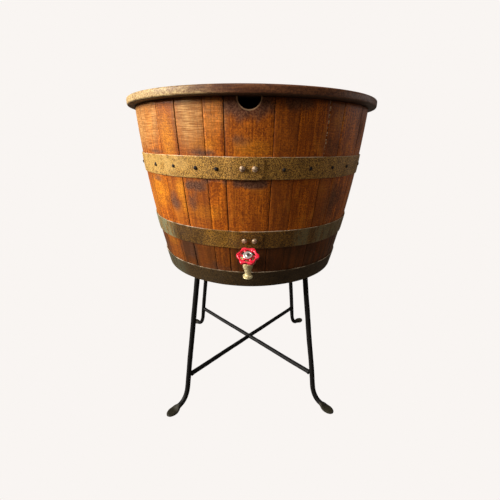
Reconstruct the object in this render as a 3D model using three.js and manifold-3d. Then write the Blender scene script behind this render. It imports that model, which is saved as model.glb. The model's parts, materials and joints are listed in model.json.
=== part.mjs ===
// A drinks tub: the lower half of a coopered oak barrel, with a lift-off lid and a brass tap,
// standing on a wrought-iron stand with four splayed legs.
// Units are millimetres. +Z is up, the floor is Z = 0 and the tub's axis is the Z axis.
// The front, with the bung notch and the tap, faces -Y. Angles round the tub are in degrees,
// zero at the front and growing towards +X.
import * as THREE from "three";
import { mergeVertices } from "three/addons/utils/BufferGeometryUtils.js";
import Module from "manifold-3d";

const wasm = await Module();
wasm.setup();

// ---------------------------------------------------------------- driving dimensions

const GAP = 0.3; // clearance between pieces that touch
const WELD = 1e-4; // distance at which two vertices are the same vertex
const THROUGH = 1; // how far a cutting tool reaches past the face that it opens

// Tub: the wall's outer radius falls from the sawn rim down to the chime.
const RIM_Z = 877;
const CHIME_Z = 448;
const RIM_RADIUS = 315;
const WALL_SLOPE = 0.045; // radius lost per millimetre just below the rim
const WALL_BEND = 2.1e-4; // how much faster it is lost lower down
const WALL_THICKNESS = 25;
const CHIME_THICKNESS = 20;
const WALL_SPANS = 6; // straight spans up a stave's face
const STAVE_STEPS = 2; // flats across a stave's face

// Staves: the bung stave is centred on the front, and the others go round towards +X.
const BUNG_STAVE_WIDTH = 18.1;
const STAVE_WIDTHS = [
  9.3, 12.9, 7.8, 15.8, 13.2, 16.5, 11.8, 14.6, 10.4, 17.2, 13.4, 12.2, 15.6,
  9.8, 16.8, 12.6, 14.2, 11.2, 16.2, 13.8, 12.4, 15.2, 14.9, 10.2, 12.3, 7.8,
];
const BUNG_RADIUS = 22.5;
const WALL_TOOL = { out: 10, in: 40 }; // reach of the tools that bore the wall

// Bottom: boards held in a groove, the croze.
const HEAD_LOW_Z = 482;
const HEAD_THICKNESS = 20;
const HEAD_EDGE = 9; // thickness of the tongue that sits in the groove
const HEAD_TONGUE = 7;
const HEAD_BEVEL = 16;
const CROZE_DEPTH = 5;
const CROZE_CLEARANCE = 1.4; // the staves' flats come this much nearer to a round head
const HEAD_JOINTS = [-82, 76]; // Y of the joints between the boards

// Hoops: flat steel strips that lap over themselves and are riveted through the lap.
const HOOPS = [
  { name: "upper_hoop", low: 722, high: 768, lap: 0, rivets: "upper_hoop_rivet" },
  { name: "middle_hoop", low: 561, high: 605, lap: 0.6, rivets: "middle_hoop_rivet" },
  { name: "bottom_hoop", low: 450, high: 494, lap: 180, rivets: "bottom_hoop_rivet" },
];
const HOOP_THICKNESS = 2.3;
const HOOP_CLEARANCE = 0.5;
const HOOP_STEPS = 66;
const LAP_HALF_ANGLE = 5.8;
const LAP_RAMP_ANGLE = 4;
const RIVET_HALF_ANGLE = 2.35;
const RIVET_HEAD_RADIUS = 6.2;
const RIVET_HEAD_HEIGHT = 3.8;
const RIVET_SHANK_RADIUS = 3;
const RIVET_TOOL_REACH = 12;

// Lid: boards running left to right on two battens that drop inside the rim.
const LID_RADIUS = 333.5;
const LID_THICKNESS = 18;
const LID_EDGE = 5; // radius of the rounded edges
const LID_JOINTS = [-78, 92];
const BATTEN_X = 130;
const BATTEN_SIZE = { width: 60, length: 440, thickness: 20 };

// Stand: a flat ring under the tub's bottom, four round-bar legs and a crossed stretcher.
const STAND_TURN = 2.75;
const RING_INNER = 200;
const RING_OUTER = 228;
const RING_THICKNESS = 6;
const BAR_RADIUS = 7.8;
const LEG_FLOOR_RADIUS = 294.2; // where the leg's straight line would meet the floor
const LEG_SPLAY = 0.168;
const KNEE_Z = 62;
const TOE = { radius: 324, z: 8.8 };
const TOE_CORNER_Z = 12.4; // where the lines of the leg and the toe would meet
const FOOT_RADIUS = 342;
const FOOT_SIZE = { width: 31, length: 46, thickness: 7 };
const STRETCHER_Z = 102;
const STRETCHER_RADIUS = 7;
const LEG_NAMES = { front_right: 45, back_right: 135, back_left: 225, front_left: 315 };

// Tap: its shank goes square through the sloping wall, so the whole tap leans with it.
const TAP_Z = 533;
const TAP_REACH = 30.5; // from the wall to the valve's centre
const STEM_LEAN = 16; // the stem leans this much further forward than the wall
const SHANK_RADIUS = 13;
const SHANK_INNER_END = 40;
const GASKET = { radius: 21, thickness: 2.6 };
const FLANGE = { radius: 19, thickness: 4 };
const HEX = { radius: 16.5, thickness: 7 };
const NECK_RADIUS = 10.1; // between the hexagon and the valve
const VALVE_RADIUS = 11.6;
const VALVE_TOP = 13; // heights along the stem are counted from the valve's centre
const VALVE_FOOT = -5;
const SEAT_Z = -4;
const CHAMBER_RADIUS = 8.5;
const BORE_RADIUS = 4.6;
const SHANK_BORE = 6.5;
const SPOUT = { drop: 30.2, collar: 11.5, groove: 10.6, collarTop: -24.4, waist: 6.4 };
const LOCKNUT = { radius: 21, thickness: 8, standoff: 1.4 };
const BONNET = { radius: 10.8, height: 8.5, neck: 6.4, neckHeight: 3 };
const STEM_RADIUS = 4;
const STEM_COLLAR = { low: 3, high: 7.6, radius: 7.9 };
const STEM_FOOT = { low: -0.5, radius: 5.5 };
const WASHER = { radius: 7.7, thickness: 2.9 };
const WHEEL_Z = 33;
const WHEEL_THICKNESS = 6.6;
const WHEEL_RADIUS = 24.2;
const WHEEL_BEVEL = 1.2;
const WHEEL_TURN = -4; // where the lobes stand with the tap shut
const WHEEL_LOBES = 6;
const LOBE_HEIGHT = 2.2;
const HUB_RADIUS = 10.2;
const RIM_INNER_RADIUS = 17.6;
const SPOKE_WIDTH = 4.4;
const DISC = { radius: 10.4, thickness: 1.1 };
const SCREW = { radius: 2, head: 3.9, headHeight: 2.4, depth: 8, slot: 0.9 };

// ---------------------------------------------------------------- materials

const finish = (color, roughness, metalness) =>
  new THREE.MeshStandardMaterial({ color, roughness, metalness });
const staveOak = () => finish(0x9a5a26, 0.5, 0);
const headOak = () => finish(0x7d5230, 0.7, 0);
const lidOak = () => finish(0x7c5c40, 0.55, 0);
const hoopSteel = () => finish(0x6e5f3a, 0.6, 0.8);
const standIron = () => finish(0x1f1c1a, 0.55, 0.7);
const tapBrass = () => finish(0xc9b26a, 0.35, 0.9);
const blackRubber = () => finish(0x1b1b1b, 0.85, 0);
const redPaint = () => finish(0xb3172a, 0.4, 0.2);
const plainAluminium = () => finish(0xc9c9c6, 0.35, 0.9);
const screwSteel = () => finish(0x9a9a98, 0.4, 0.9);

// ---------------------------------------------------------------- solids and meshes

const radians = THREE.MathUtils.degToRad;

// A closed three.js geometry as a solid that can be joined and cut.
function solidOf(geometry) {
  const bare = geometry.index ? geometry.toNonIndexed() : geometry.clone();
  bare.deleteAttribute("normal");
  bare.deleteAttribute("uv");
  const merged = mergeVertices(bare, WELD);
  const vertProperties = merged.attributes.position.array;
  const triVerts = new Uint32Array(merged.index.array);
  return new wasm.Manifold(new wasm.Mesh({ numProp: 3, vertProperties, triVerts }));
}

function geometryOf(solid) {
  const mesh = solid.getMesh();
  const geometry = new THREE.BufferGeometry();
  geometry.setAttribute("position", new THREE.BufferAttribute(mesh.vertProperties, 3));
  geometry.setIndex(new THREE.BufferAttribute(mesh.triVerts, 1));
  geometry.computeVertexNormals();
  return geometry;
}

function cut(geometry, ...tools) {
  const left = tools.reduce((solid, tool) => solid.subtract(solidOf(tool)), solidOf(geometry));
  return geometryOf(left);
}

function join(...geometries) {
  return geometryOf(geometries.map(solidOf).reduce((whole, piece) => whole.add(piece)));
}

function overlapOf(first, second) {
  return geometryOf(solidOf(first).intersect(solidOf(second)));
}

function named(name, geometry, material) {
  const mesh = new THREE.Mesh(geometry, material);
  mesh.name = name;
  return mesh;
}

// A turned solid about Z, from [radius, z] points that start and end on the axis, going up.
function turned(profile, segments) {
  const points = profile.map(([radius, z]) => new THREE.Vector2(radius, z));
  return new THREE.LatheGeometry(points, segments).rotateX(Math.PI / 2);
}

// A round bar about Z between two heights.
function rod(radius, low, high, sides = 24) {
  const bar = new THREE.CylinderGeometry(radius, radius, high - low, sides);
  return bar.rotateX(Math.PI / 2).translate(0, 0, (low + high) / 2);
}

// The same bar along Y, for whatever goes through the front wall.
function rodAlongY(radius, low, high, sides = 24) {
  const bar = new THREE.CylinderGeometry(radius, radius, high - low, sides);
  return bar.translate(0, (low + high) / 2, 0);
}

function circleShape(radius, sides) {
  const shape = new THREE.Shape();
  for (let i = 0; i < sides; i++) {
    const angle = (2 * Math.PI * i) / sides;
    const [x, y] = [radius * Math.cos(angle), radius * Math.sin(angle)];
    if (i === 0) shape.moveTo(x, y);
    else shape.lineTo(x, y);
  }
  shape.closePath();
  return shape;
}

// A route round the Z axis, with a radius that may change with the angle.
class RoundRoute extends THREE.Curve {
  constructor(from, to, radiusAt) {
    super();
    this.from = from;
    this.to = to;
    this.radiusAt = radiusAt;
  }

  getPoint(t, target = new THREE.Vector3()) {
    const degrees = this.from + t * (this.to - this.from);
    const angle = radians(degrees);
    const radius = this.radiusAt(degrees);
    return target.set(radius * Math.sin(angle), -radius * Math.cos(angle), 0);
  }
}

// Sweeps a profile of [radius, z] points along such a route. On a route that lies flat, the
// swept shape's X points down and its Y points to the axis. The points are those of a plain ring
// with radius homeRadius.
function sweptRound(profile, homeRadius, route, steps) {
  const corners = profile.map(([radius, z]) => new THREE.Vector2(-z, homeRadius - radius));
  const shape = new THREE.Shape(corners);
  return new THREE.ExtrudeGeometry(shape, { extrudePath: route, steps, bevelEnabled: false });
}

// ---------------------------------------------------------------- the tub's wall

function wallRadius(z) {
  const drop = RIM_Z - z;
  return RIM_RADIUS - WALL_SLOPE * drop - WALL_BEND * drop * drop;
}

function wallLean(z) {
  return Math.atan(WALL_SLOPE + 2 * WALL_BEND * (RIM_Z - z));
}

// A group whose origin is on the wall's outer face, with -Y square to the wall and outwards.
function placeOnWall(degrees, z) {
  const turn = new THREE.Group();
  turn.rotation.z = radians(degrees);
  const place = new THREE.Group();
  place.position.set(0, -wallRadius(z), z);
  place.rotation.x = wallLean(z);
  turn.add(place);
  turn.updateMatrixWorld(true);
  return { turn, place };
}

// A tool laid out in that group's frame, moved to the tub's frame.
function toolOnWall(degrees, z, geometry) {
  return geometry.applyMatrix4(placeOnWall(degrees, z).place.matrixWorld);
}

const headRadius = wallRadius(HEAD_LOW_Z) - WALL_THICKNESS + CROZE_DEPTH - CROZE_CLEARANCE;

function staveProfile() {
  const middle = HEAD_LOW_Z + HEAD_THICKNESS / 2;
  const lip = HEAD_EDGE / 2 + GAP;
  const heights = [];
  for (let i = 0; i <= WALL_SPANS; i++) {
    heights.push(CHIME_Z + ((RIM_Z - CHIME_Z) * i) / WALL_SPANS);
  }
  const outer = heights.map((z) => [wallRadius(z), z]);
  const inner = heights
    .filter((z) => z > middle + lip)
    .map((z) => [wallRadius(z) - WALL_THICKNESS, z])
    .reverse();
  const crozeInner = wallRadius(middle) - WALL_THICKNESS;
  const crozeOuter = headRadius + CROZE_CLEARANCE;
  const croze = [
    [crozeInner, middle + lip],
    [crozeOuter, middle + lip],
    [crozeOuter, middle - lip],
    [crozeInner, middle - lip],
  ];
  const chime = [[wallRadius(CHIME_Z) - CHIME_THICKNESS, CHIME_Z]];
  return [...outer, ...inner, ...croze, ...chime];
}

function staveGeometry(from, to) {
  const home = wallRadius(RIM_Z);
  const halfGap = THREE.MathUtils.radToDeg(GAP / 2 / wallRadius(CHIME_Z));
  const route = new RoundRoute(from + halfGap, to - halfGap, () => home);
  return sweptRound(staveProfile(), home, route, STAVE_STEPS);
}

function bungStaveGeometry() {
  const bung = rodAlongY(BUNG_RADIUS, -WALL_TOOL.out, WALL_TOOL.in, 32);
  bung.translate(0, -RIM_RADIUS, RIM_Z);
  const drill = rodAlongY(SHANK_RADIUS + GAP, -WALL_TOOL.out, WALL_TOOL.in);
  const tapHole = toolOnWall(0, TAP_Z, drill);
  const half = BUNG_STAVE_WIDTH / 2;
  return cut(staveGeometry(-half, half), bung, tapHole);
}

function staves() {
  const group = new THREE.Group();
  group.add(named("bung_stave", bungStaveGeometry(), staveOak()));
  let from = BUNG_STAVE_WIDTH / 2;
  const spread = (360 - BUNG_STAVE_WIDTH) / STAVE_WIDTHS.reduce((sum, width) => sum + width);
  STAVE_WIDTHS.forEach((width, i) => {
    const to = from + width * spread;
    const name = "stave_" + String(i + 2).padStart(2, "0");
    group.add(named(name, staveGeometry(from, to), staveOak()));
    from = to;
  });
  return group;
}

// ---------------------------------------------------------------- bottom and lid boards

// Cuts a round panel into boards along X, with joints at the given Y.
function boardsOf(panel, joints, reach) {
  const edges = [-reach, ...joints, reach];
  return joints.concat(reach).map((far, i) => {
    const near = edges[i] + GAP / 2;
    const width = far - GAP / 2 - near;
    const slab = new THREE.BoxGeometry(2 * reach, width, 2 * reach);
    slab.translate(0, near + width / 2, (RIM_Z + HEAD_LOW_Z) / 2);
    return overlapOf(panel, slab);
  });
}

function headBoards() {
  const top = HEAD_LOW_Z + HEAD_THICKNESS;
  const middle = HEAD_LOW_Z + HEAD_THICKNESS / 2;
  const panel = turned(
    [
      [0, HEAD_LOW_Z],
      [headRadius - HEAD_BEVEL, HEAD_LOW_Z],
      [headRadius - HEAD_TONGUE, middle - HEAD_EDGE / 2],
      [headRadius, middle - HEAD_EDGE / 2],
      [headRadius, middle + HEAD_EDGE / 2],
      [headRadius - HEAD_TONGUE, middle + HEAD_EDGE / 2],
      [headRadius - HEAD_BEVEL, top],
      [0, top],
    ],
    48,
  );
  const names = ["bottom_board_front", "bottom_board_middle", "bottom_board_back"];
  const group = new THREE.Group();
  boardsOf(panel, HEAD_JOINTS, RIM_RADIUS).forEach((board, i) => {
    group.add(named(names[i], board, headOak()));
  });
  return group;
}

function lidPanel() {
  const low = RIM_Z + GAP;
  const top = low + LID_THICKNESS;
  const cutIn = LID_EDGE * (1 - Math.SQRT1_2); // how far the rounding is in from both faces
  const side = LID_RADIUS - cutIn;
  const profile = [
    [0, low],
    [LID_RADIUS - LID_EDGE, low],
    [side, low + cutIn],
    [LID_RADIUS, low + LID_EDGE],
    [LID_RADIUS, top - LID_EDGE],
    [side, top - cutIn],
    [LID_RADIUS - LID_EDGE, top],
    [0, top],
  ];
  return turned(profile, 72);
}

function lid() {
  const group = new THREE.Group();
  const names = ["lid_board_front", "lid_board_middle", "lid_board_back"];
  boardsOf(lidPanel(), LID_JOINTS, LID_RADIUS + 10).forEach((board, i) => {
    group.add(named(names[i], board, lidOak()));
  });
  const { width, length, thickness } = BATTEN_SIZE;
  for (const [name, side] of Object.entries({ left: -1, right: 1 })) {
    const batten = new THREE.BoxGeometry(width, length, thickness);
    const mesh = named("lid_batten_" + name, batten, lidOak());
    mesh.position.set(side * BATTEN_X, 0, RIM_Z - thickness / 2);
    group.add(mesh);
  }
  return group;
}

// ---------------------------------------------------------------- hoops

const hoopStepAngle = (360 + 2 * LAP_HALF_ANGLE) / HOOP_STEPS;

function hoopGeometry({ low, high, lap }) {
  const outwards = 1 / Math.cos(radians(hoopStepAngle / 2));
  const innerRadius = (z) => (wallRadius(z) + HOOP_CLEARANCE) * outwards;
  const home = innerRadius(high);
  const lift = HOOP_THICKNESS + GAP;
  const lapStart = lap - LAP_HALF_ANGLE + 360;
  const radiusAt = (degrees) =>
    home + lift * THREE.MathUtils.smoothstep(degrees, lapStart - LAP_RAMP_ANGLE, lapStart);
  const route = new RoundRoute(lapStart - 360, lap + LAP_HALF_ANGLE + 360, radiusAt);
  const strip = [
    [innerRadius(low), low],
    [innerRadius(low) + HOOP_THICKNESS, low],
    [home + HOOP_THICKNESS, high],
    [home, high],
  ];
  const holes = [-1, 1].map((side) =>
    toolOnWall(
      lap + side * RIVET_HALF_ANGLE,
      (low + high) / 2,
      rodAlongY(RIVET_SHANK_RADIUS + GAP, -RIVET_TOOL_REACH, 0, 12),
    ),
  );
  return cut(sweptRound(strip, home, route, HOOP_STEPS), ...holes);
}

// A round-headed rivet along -Y, its shank ending just clear of the wall.
function rivetGeometry() {
  const headFoot = 2 * HOOP_THICKNESS + GAP + HOOP_CLEARANCE + 2.5 * GAP;
  const profile = [
    [0, 2 * GAP],
    [RIVET_SHANK_RADIUS, 2 * GAP],
    [RIVET_SHANK_RADIUS, headFoot],
    [RIVET_HEAD_RADIUS, headFoot],
    [RIVET_HEAD_RADIUS * 0.8, headFoot + RIVET_HEAD_HEIGHT * 0.65],
    [RIVET_HEAD_RADIUS * 0.4, headFoot + RIVET_HEAD_HEIGHT],
    [0, headFoot + RIVET_HEAD_HEIGHT],
  ];
  return turned(profile, 12).rotateX(Math.PI / 2);
}

function hoops() {
  const group = new THREE.Group();
  for (const hoop of HOOPS) {
    group.add(named(hoop.name, hoopGeometry(hoop), hoopSteel()));
    for (const [word, side] of Object.entries({ left: -1, right: 1 })) {
      const angle = hoop.lap + side * RIVET_HALF_ANGLE;
      const { turn, place } = placeOnWall(angle, (hoop.low + hoop.high) / 2);
      place.add(named(hoop.rivets + "_" + word, rivetGeometry(), hoopSteel()));
      group.add(turn);
    }
  }
  return group;
}

// ---------------------------------------------------------------- tap

// The body, in the frame of the wall: -Y is out along the shank.
function tapBodyGeometry() {
  const flangeBack = -(GASKET.thickness + 3 * GAP);
  const flangeFront = flangeBack - FLANGE.thickness;
  const hexFront = flangeFront - HEX.thickness;
  const centre = new THREE.Vector3(0, -TAP_REACH, 0);
  const stemFrame = (piece) => piece.rotateX(radians(STEM_LEAN)).translate(...centre);
  const plumb = (piece) => piece.rotateX(-wallLean(TAP_Z)).translate(...centre);

  const outside = [
    rodAlongY(SHANK_RADIUS, flangeFront, SHANK_INNER_END),
    rodAlongY(FLANGE.radius, flangeFront, flangeBack, 32),
    rodAlongY(HEX.radius, hexFront, flangeFront + THROUGH, 6),
    rodAlongY(NECK_RADIUS, -TAP_REACH, hexFront + THROUGH),
    stemFrame(rod(VALVE_RADIUS, VALVE_FOOT, VALVE_TOP)),
    new THREE.SphereGeometry(VALVE_RADIUS, 24, 12).rotateX(Math.PI / 2).translate(...centre),
    plumb(spoutOutside()),
  ];
  const inside = [
    stemFrame(rod(CHAMBER_RADIUS, SEAT_Z, VALVE_TOP + THROUGH)),
    rodAlongY(SHANK_BORE, -TAP_REACH, SHANK_INNER_END + THROUGH),
    plumb(rod(BORE_RADIUS, -SPOUT.drop - THROUGH, 0, 16)),
  ];
  return cut(join(...outside), ...inside);
}

// The spout hangs plumb: a bell narrows to a waist, and a grooved collar ends it.
function spoutOutside() {
  const { drop, collar, groove, collarTop, waist } = SPOUT;
  const grooveZ = (collarTop - drop) / 2;
  return turned(
    [
      [0, -drop],
      [collar - 0.8, -drop],
      [collar, -drop + 0.8],
      [collar, grooveZ - 0.9],
      [groove, grooveZ - 0.3],
      [groove, grooveZ + 0.3],
      [collar, grooveZ + 0.9],
      [collar, collarTop - 0.6],
      [collar - 0.6, collarTop],
      [waist + 0.6, collarTop],
      [waist, collarTop + 2],
      [waist + 1.2, -14],
      [waist + 3, -8],
      [VALVE_RADIUS - 0.2, 0],
      [0, 2],
    ],
    24,
  );
}

function handleWheelGeometry() {
  const outline = new THREE.Shape();
  const outlineSteps = 36;
  for (let i = 0; i < outlineSteps; i++) {
    const angle = (2 * Math.PI * i) / outlineSteps;
    const radius = WHEEL_RADIUS + LOBE_HEIGHT * Math.cos(WHEEL_LOBES * angle);
    const [x, y] = [radius * Math.cos(angle), radius * Math.sin(angle)];
    if (i === 0) outline.moveTo(x, y);
    else outline.lineTo(x, y);
  }
  for (let i = 0; i < WHEEL_LOBES; i++) outline.holes.push(windowBetweenSpokes(i));
  const centreHole = new THREE.Path();
  centreHole.absarc(0, 0, STEM_RADIUS + GAP, 0, 2 * Math.PI, true);
  outline.holes.push(centreHole);
  const wheel = new THREE.ExtrudeGeometry(outline, {
    depth: WHEEL_THICKNESS - 2 * WHEEL_BEVEL,
    bevelThickness: WHEEL_BEVEL,
    bevelSize: WHEEL_BEVEL,
    bevelOffset: -WHEEL_BEVEL,
    bevelSegments: 1,
    curveSegments: 6,
  });
  wheel.translate(0, 0, WHEEL_Z - WHEEL_THICKNESS / 2 + WHEEL_BEVEL);
  return wheel.rotateZ(radians(WHEEL_TURN));
}

// The open window between two neighbouring spokes, which run to the lobes.
function windowBetweenSpokes(index) {
  const pitch = (2 * Math.PI) / WHEEL_LOBES;
  const [start, end] = [index * pitch, (index + 1) * pitch];
  const inner = Math.asin(SPOKE_WIDTH / 2 / (HUB_RADIUS + 1));
  const outer = Math.asin(SPOKE_WIDTH / 2 / RIM_INNER_RADIUS);
  const path = new THREE.Path();
  path.absarc(0, 0, RIM_INNER_RADIUS, start + outer, end - outer, false);
  path.absarc(0, 0, HUB_RADIUS + 1, end - inner, start + inner, true);
  path.closePath();
  return path;
}

function stemGeometry() {
  const top = WHEEL_Z + WHEEL_THICKNESS / 2;
  const stem = turned(
    [
      [0, STEM_FOOT.low],
      [STEM_FOOT.radius, STEM_FOOT.low],
      [STEM_FOOT.radius, STEM_COLLAR.low],
      [STEM_COLLAR.radius, STEM_COLLAR.low],
      [STEM_COLLAR.radius, STEM_COLLAR.high],
      [STEM_RADIUS, STEM_COLLAR.high + 0.5],
      [STEM_RADIUS, top],
      [0, top],
    ],
    20,
  );
  return cut(stem, rod(SCREW.radius + GAP, top - SCREW.depth - GAP, top + THROUGH, 12));
}

function bonnetGeometry() {
  const low = VALVE_TOP + GAP;
  const hex = rod(BONNET.radius, low, low + BONNET.height, 6);
  const top = low + BONNET.height + BONNET.neckHeight;
  const neck = rod(BONNET.neck, low + BONNET.height - THROUGH, top);
  return cut(join(hex, neck), rod(STEM_RADIUS + GAP, low - THROUGH, top + THROUGH, 20));
}

function handleScrewGeometry() {
  const seat = WHEEL_Z + WHEEL_THICKNESS / 2 + DISC.thickness + 2 * GAP;
  const top = seat + SCREW.headHeight;
  const screw = turned(
    [
      [0, seat - SCREW.depth],
      [SCREW.radius, seat - SCREW.depth],
      [SCREW.radius, seat],
      [SCREW.head, seat],
      [SCREW.head, seat + SCREW.headHeight * 0.4],
      [SCREW.head * 0.7, top],
      [0, top],
    ],
    16,
  );
  const slot = new THREE.BoxGeometry(3 * SCREW.head, SCREW.slot, SCREW.headHeight / 2);
  slot.translate(0, 0, top);
  return cut(screw, slot);
}

function handleDiscGeometry() {
  const low = WHEEL_Z + WHEEL_THICKNESS / 2 + GAP;
  const disc = rod(DISC.radius, low, low + DISC.thickness, 32);
  return cut(disc, rod(SCREW.radius + GAP, low - THROUGH, low + DISC.thickness + THROUGH, 12));
}

function ringAlongY(radius, hole, low, high, sides) {
  return cut(rodAlongY(radius, low, high, sides), rodAlongY(hole, low - THROUGH, high + THROUGH));
}

function tap() {
  const { turn, place } = placeOnWall(0, TAP_Z);
  const hole = SHANK_RADIUS + GAP;
  const gasketBack = -(2 * GAP);
  const gasket = ringAlongY(GASKET.radius, hole, gasketBack - GASKET.thickness, gasketBack, 32);
  const nutFace = WALL_THICKNESS + LOCKNUT.standoff;
  const locknut = ringAlongY(LOCKNUT.radius, hole, nutFace, nutFace + LOCKNUT.thickness, 6);
  place.add(named("tap_body", tapBodyGeometry(), tapBrass()));
  place.add(named("tap_gasket", gasket, blackRubber()));
  place.add(named("tap_locknut", locknut, tapBrass()));

  const stemLine = new THREE.Group();
  stemLine.position.y = -TAP_REACH;
  stemLine.rotation.x = radians(STEM_LEAN);
  const washerLow = SEAT_Z + GAP;
  const washer = rod(WASHER.radius, washerLow, washerLow + WASHER.thickness);
  stemLine.add(named("tap_seat_washer", washer, blackRubber()));
  stemLine.add(named("tap_stem", stemGeometry(), tapBrass()));
  stemLine.add(named("tap_bonnet_nut", bonnetGeometry(), tapBrass()));
  stemLine.add(named("tap_handle_wheel", handleWheelGeometry(), redPaint()));
  stemLine.add(named("tap_handle_disc", handleDiscGeometry(), plainAluminium()));
  stemLine.add(named("tap_handle_screw", handleScrewGeometry(), screwSteel()));
  place.add(stemLine);
  return turn;
}

// ---------------------------------------------------------------- stand

function barAlong(curve, radius, sides, steps) {
  const shape = circleShape(radius, sides);
  return new THREE.ExtrudeGeometry(shape, { extrudePath: curve, steps, bevelEnabled: false });
}

const ringTop = HEAD_LOW_Z - GAP;
const ringLow = ringTop - RING_THICKNESS;
const legRadiusAt = (z) => LEG_FLOOR_RADIUS - LEG_SPLAY * z;

// One leg, in the plane of X and Z: a straight bar, a knee, and a toe hammered into an oval pad.
function legGeometry() {
  const top = new THREE.Vector3(legRadiusAt(ringTop), 0, ringTop);
  const knee = new THREE.Vector3(legRadiusAt(KNEE_Z), 0, KNEE_Z);
  const corner = new THREE.Vector3(legRadiusAt(TOE_CORNER_Z), 0, TOE_CORNER_Z);
  const toe = new THREE.Vector3(TOE.radius, 0, TOE.z);
  const belowKnee = knee.clone().lerp(corner, 0.03);
  const straight = new THREE.LineCurve3(top, belowKnee);
  const bend = new THREE.QuadraticBezierCurve3(knee, corner, toe);
  const pad = rod(FOOT_SIZE.width / 2, 0, FOOT_SIZE.thickness, 20);
  pad.scale(FOOT_SIZE.length / FOOT_SIZE.width, 1, 1).translate(FOOT_RADIUS, 0, 0);
  const bar = join(barAlong(straight, BAR_RADIUS, 10, 1), barAlong(bend, BAR_RADIUS, 10, 8), pad);
  const block = 6 * BAR_RADIUS;
  const aboveRing = new THREE.BoxGeometry(block, block, block);
  aboveRing.translate(top.x, 0, ringLow - GAP + block / 2);
  return cut(bar, aboveRing);
}

function ringGeometry() {
  const shape = circleShape(RING_OUTER, 48);
  shape.holes.push(circleShape(RING_INNER, 48));
  const ring = new THREE.ExtrudeGeometry(shape, { depth: RING_THICKNESS, bevelEnabled: false });
  return ring.translate(0, 0, ringLow);
}

// A stretcher along X. Each is cut half away at the crossing, one above and one below.
function stretcherGeometry(cutSide) {
  const legHalfWidth = BAR_RADIUS / Math.cos(Math.atan(LEG_SPLAY));
  const reach = legRadiusAt(STRETCHER_Z + STRETCHER_RADIUS) - legHalfWidth - GAP;
  const bar = rod(STRETCHER_RADIUS, -reach, reach, 12).rotateY(Math.PI / 2);
  const width = 2 * STRETCHER_RADIUS;
  const half = new THREE.BoxGeometry(width + 2 * GAP, 2 * width, width);
  half.translate(0, 0, cutSide * (width / 2 - GAP / 2));
  return cut(bar, half).translate(0, 0, STRETCHER_Z);
}

function stand() {
  const group = new THREE.Group();
  group.rotation.z = radians(STAND_TURN);
  group.add(named("stand_ring", ringGeometry(), standIron()));
  for (const [place, degrees] of Object.entries(LEG_NAMES)) {
    const leg = named(place + "_leg", legGeometry(), standIron());
    leg.rotation.z = radians(degrees - 90);
    group.add(leg);
  }
  const lower = named("lower_stretcher", stretcherGeometry(1), standIron());
  lower.rotation.z = radians(45);
  const upper = named("upper_stretcher", stretcherGeometry(-1), standIron());
  upper.rotation.z = radians(-45);
  group.add(lower, upper);
  return group;
}

// ---------------------------------------------------------------- the whole object

const barrelTub = new THREE.Group();
barrelTub.add(stand(), staves(), headBoards(), hoops(), tap(), lid());

export default barrelTub;
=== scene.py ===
"""A half-barrel drinks tub on a wrought-iron stand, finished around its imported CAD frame.

Units are metres and +Z is up. Angles round the tub are counted from the front (-Y) towards +X.
"""

import itertools
import json
import math
import random

import bmesh
import bpy
from mathutils import Matrix, Vector, noise


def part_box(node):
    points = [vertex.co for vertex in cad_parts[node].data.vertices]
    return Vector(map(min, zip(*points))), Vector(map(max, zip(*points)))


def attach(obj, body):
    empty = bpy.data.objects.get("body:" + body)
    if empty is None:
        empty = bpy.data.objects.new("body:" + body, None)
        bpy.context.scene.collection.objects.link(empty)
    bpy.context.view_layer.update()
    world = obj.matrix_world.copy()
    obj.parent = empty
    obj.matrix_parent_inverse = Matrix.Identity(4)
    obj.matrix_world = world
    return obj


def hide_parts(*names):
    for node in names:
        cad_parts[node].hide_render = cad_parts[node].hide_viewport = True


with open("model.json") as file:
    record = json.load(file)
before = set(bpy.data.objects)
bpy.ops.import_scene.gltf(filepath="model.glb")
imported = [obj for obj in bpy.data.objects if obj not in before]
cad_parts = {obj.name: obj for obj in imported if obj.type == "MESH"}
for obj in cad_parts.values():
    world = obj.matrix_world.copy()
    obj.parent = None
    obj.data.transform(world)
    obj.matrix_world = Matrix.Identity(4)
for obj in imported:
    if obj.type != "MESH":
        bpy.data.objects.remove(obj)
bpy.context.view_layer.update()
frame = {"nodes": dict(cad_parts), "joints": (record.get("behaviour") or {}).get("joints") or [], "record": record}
random.seed(1874)

# ---------------------------------------------------------------- sizes

WALL_THICKNESS = 0.025
STAVE_EDGE = 0.0021  # how far a stave's outer corners are rounded at a worn joint
STAVE_CHAMFER = 0.0012
STAVE_DENT = 0.0007  # deepest unevenness of a stave's face
STAVE_ROWS = 46  # of points up a stave, and columns of them across its face
STAVE_COLUMNS = 10
GROOVE_HALF_HEIGHT = 0.0049  # the groove inside the staves holds the bottom boards
GROOVE_DEPTH = 0.005
CHIME_TAPER = 0.005  # how much thinner the wall is at its foot than at the bottom
NOTCH_ROUNDING = 0.0018

HOOP_THICKNESS = 0.0023
HOOP_CLEARANCE = 0.0004  # between a hoop and the staves
HOOP_EDGE = 0.0008  # how far its edges are rounded
HOOP_WAVE = 0.0005  # how far its edges wander
HOOP_DENT = 0.00022
HOOP_END_RADIUS = 0.011  # of the corners at its two ends, which overlap in a lap
LAP_HALF_ANGLE = math.radians(5.8)
LAP_RAMP_ANGLE = math.radians(4)
LAP_GAP = 0.0003

RIVET_RADIUS = 0.0062
RIVET_HEIGHT = 0.0038
NAIL_RADIUS = 0.0041
NAIL_HEIGHT = 0.0024

LID_EDGE = 0.005
LID_SEGMENTS = 192
BOARD_EDGE = 0.0009
BATTEN_EDGE = 0.002

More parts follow.
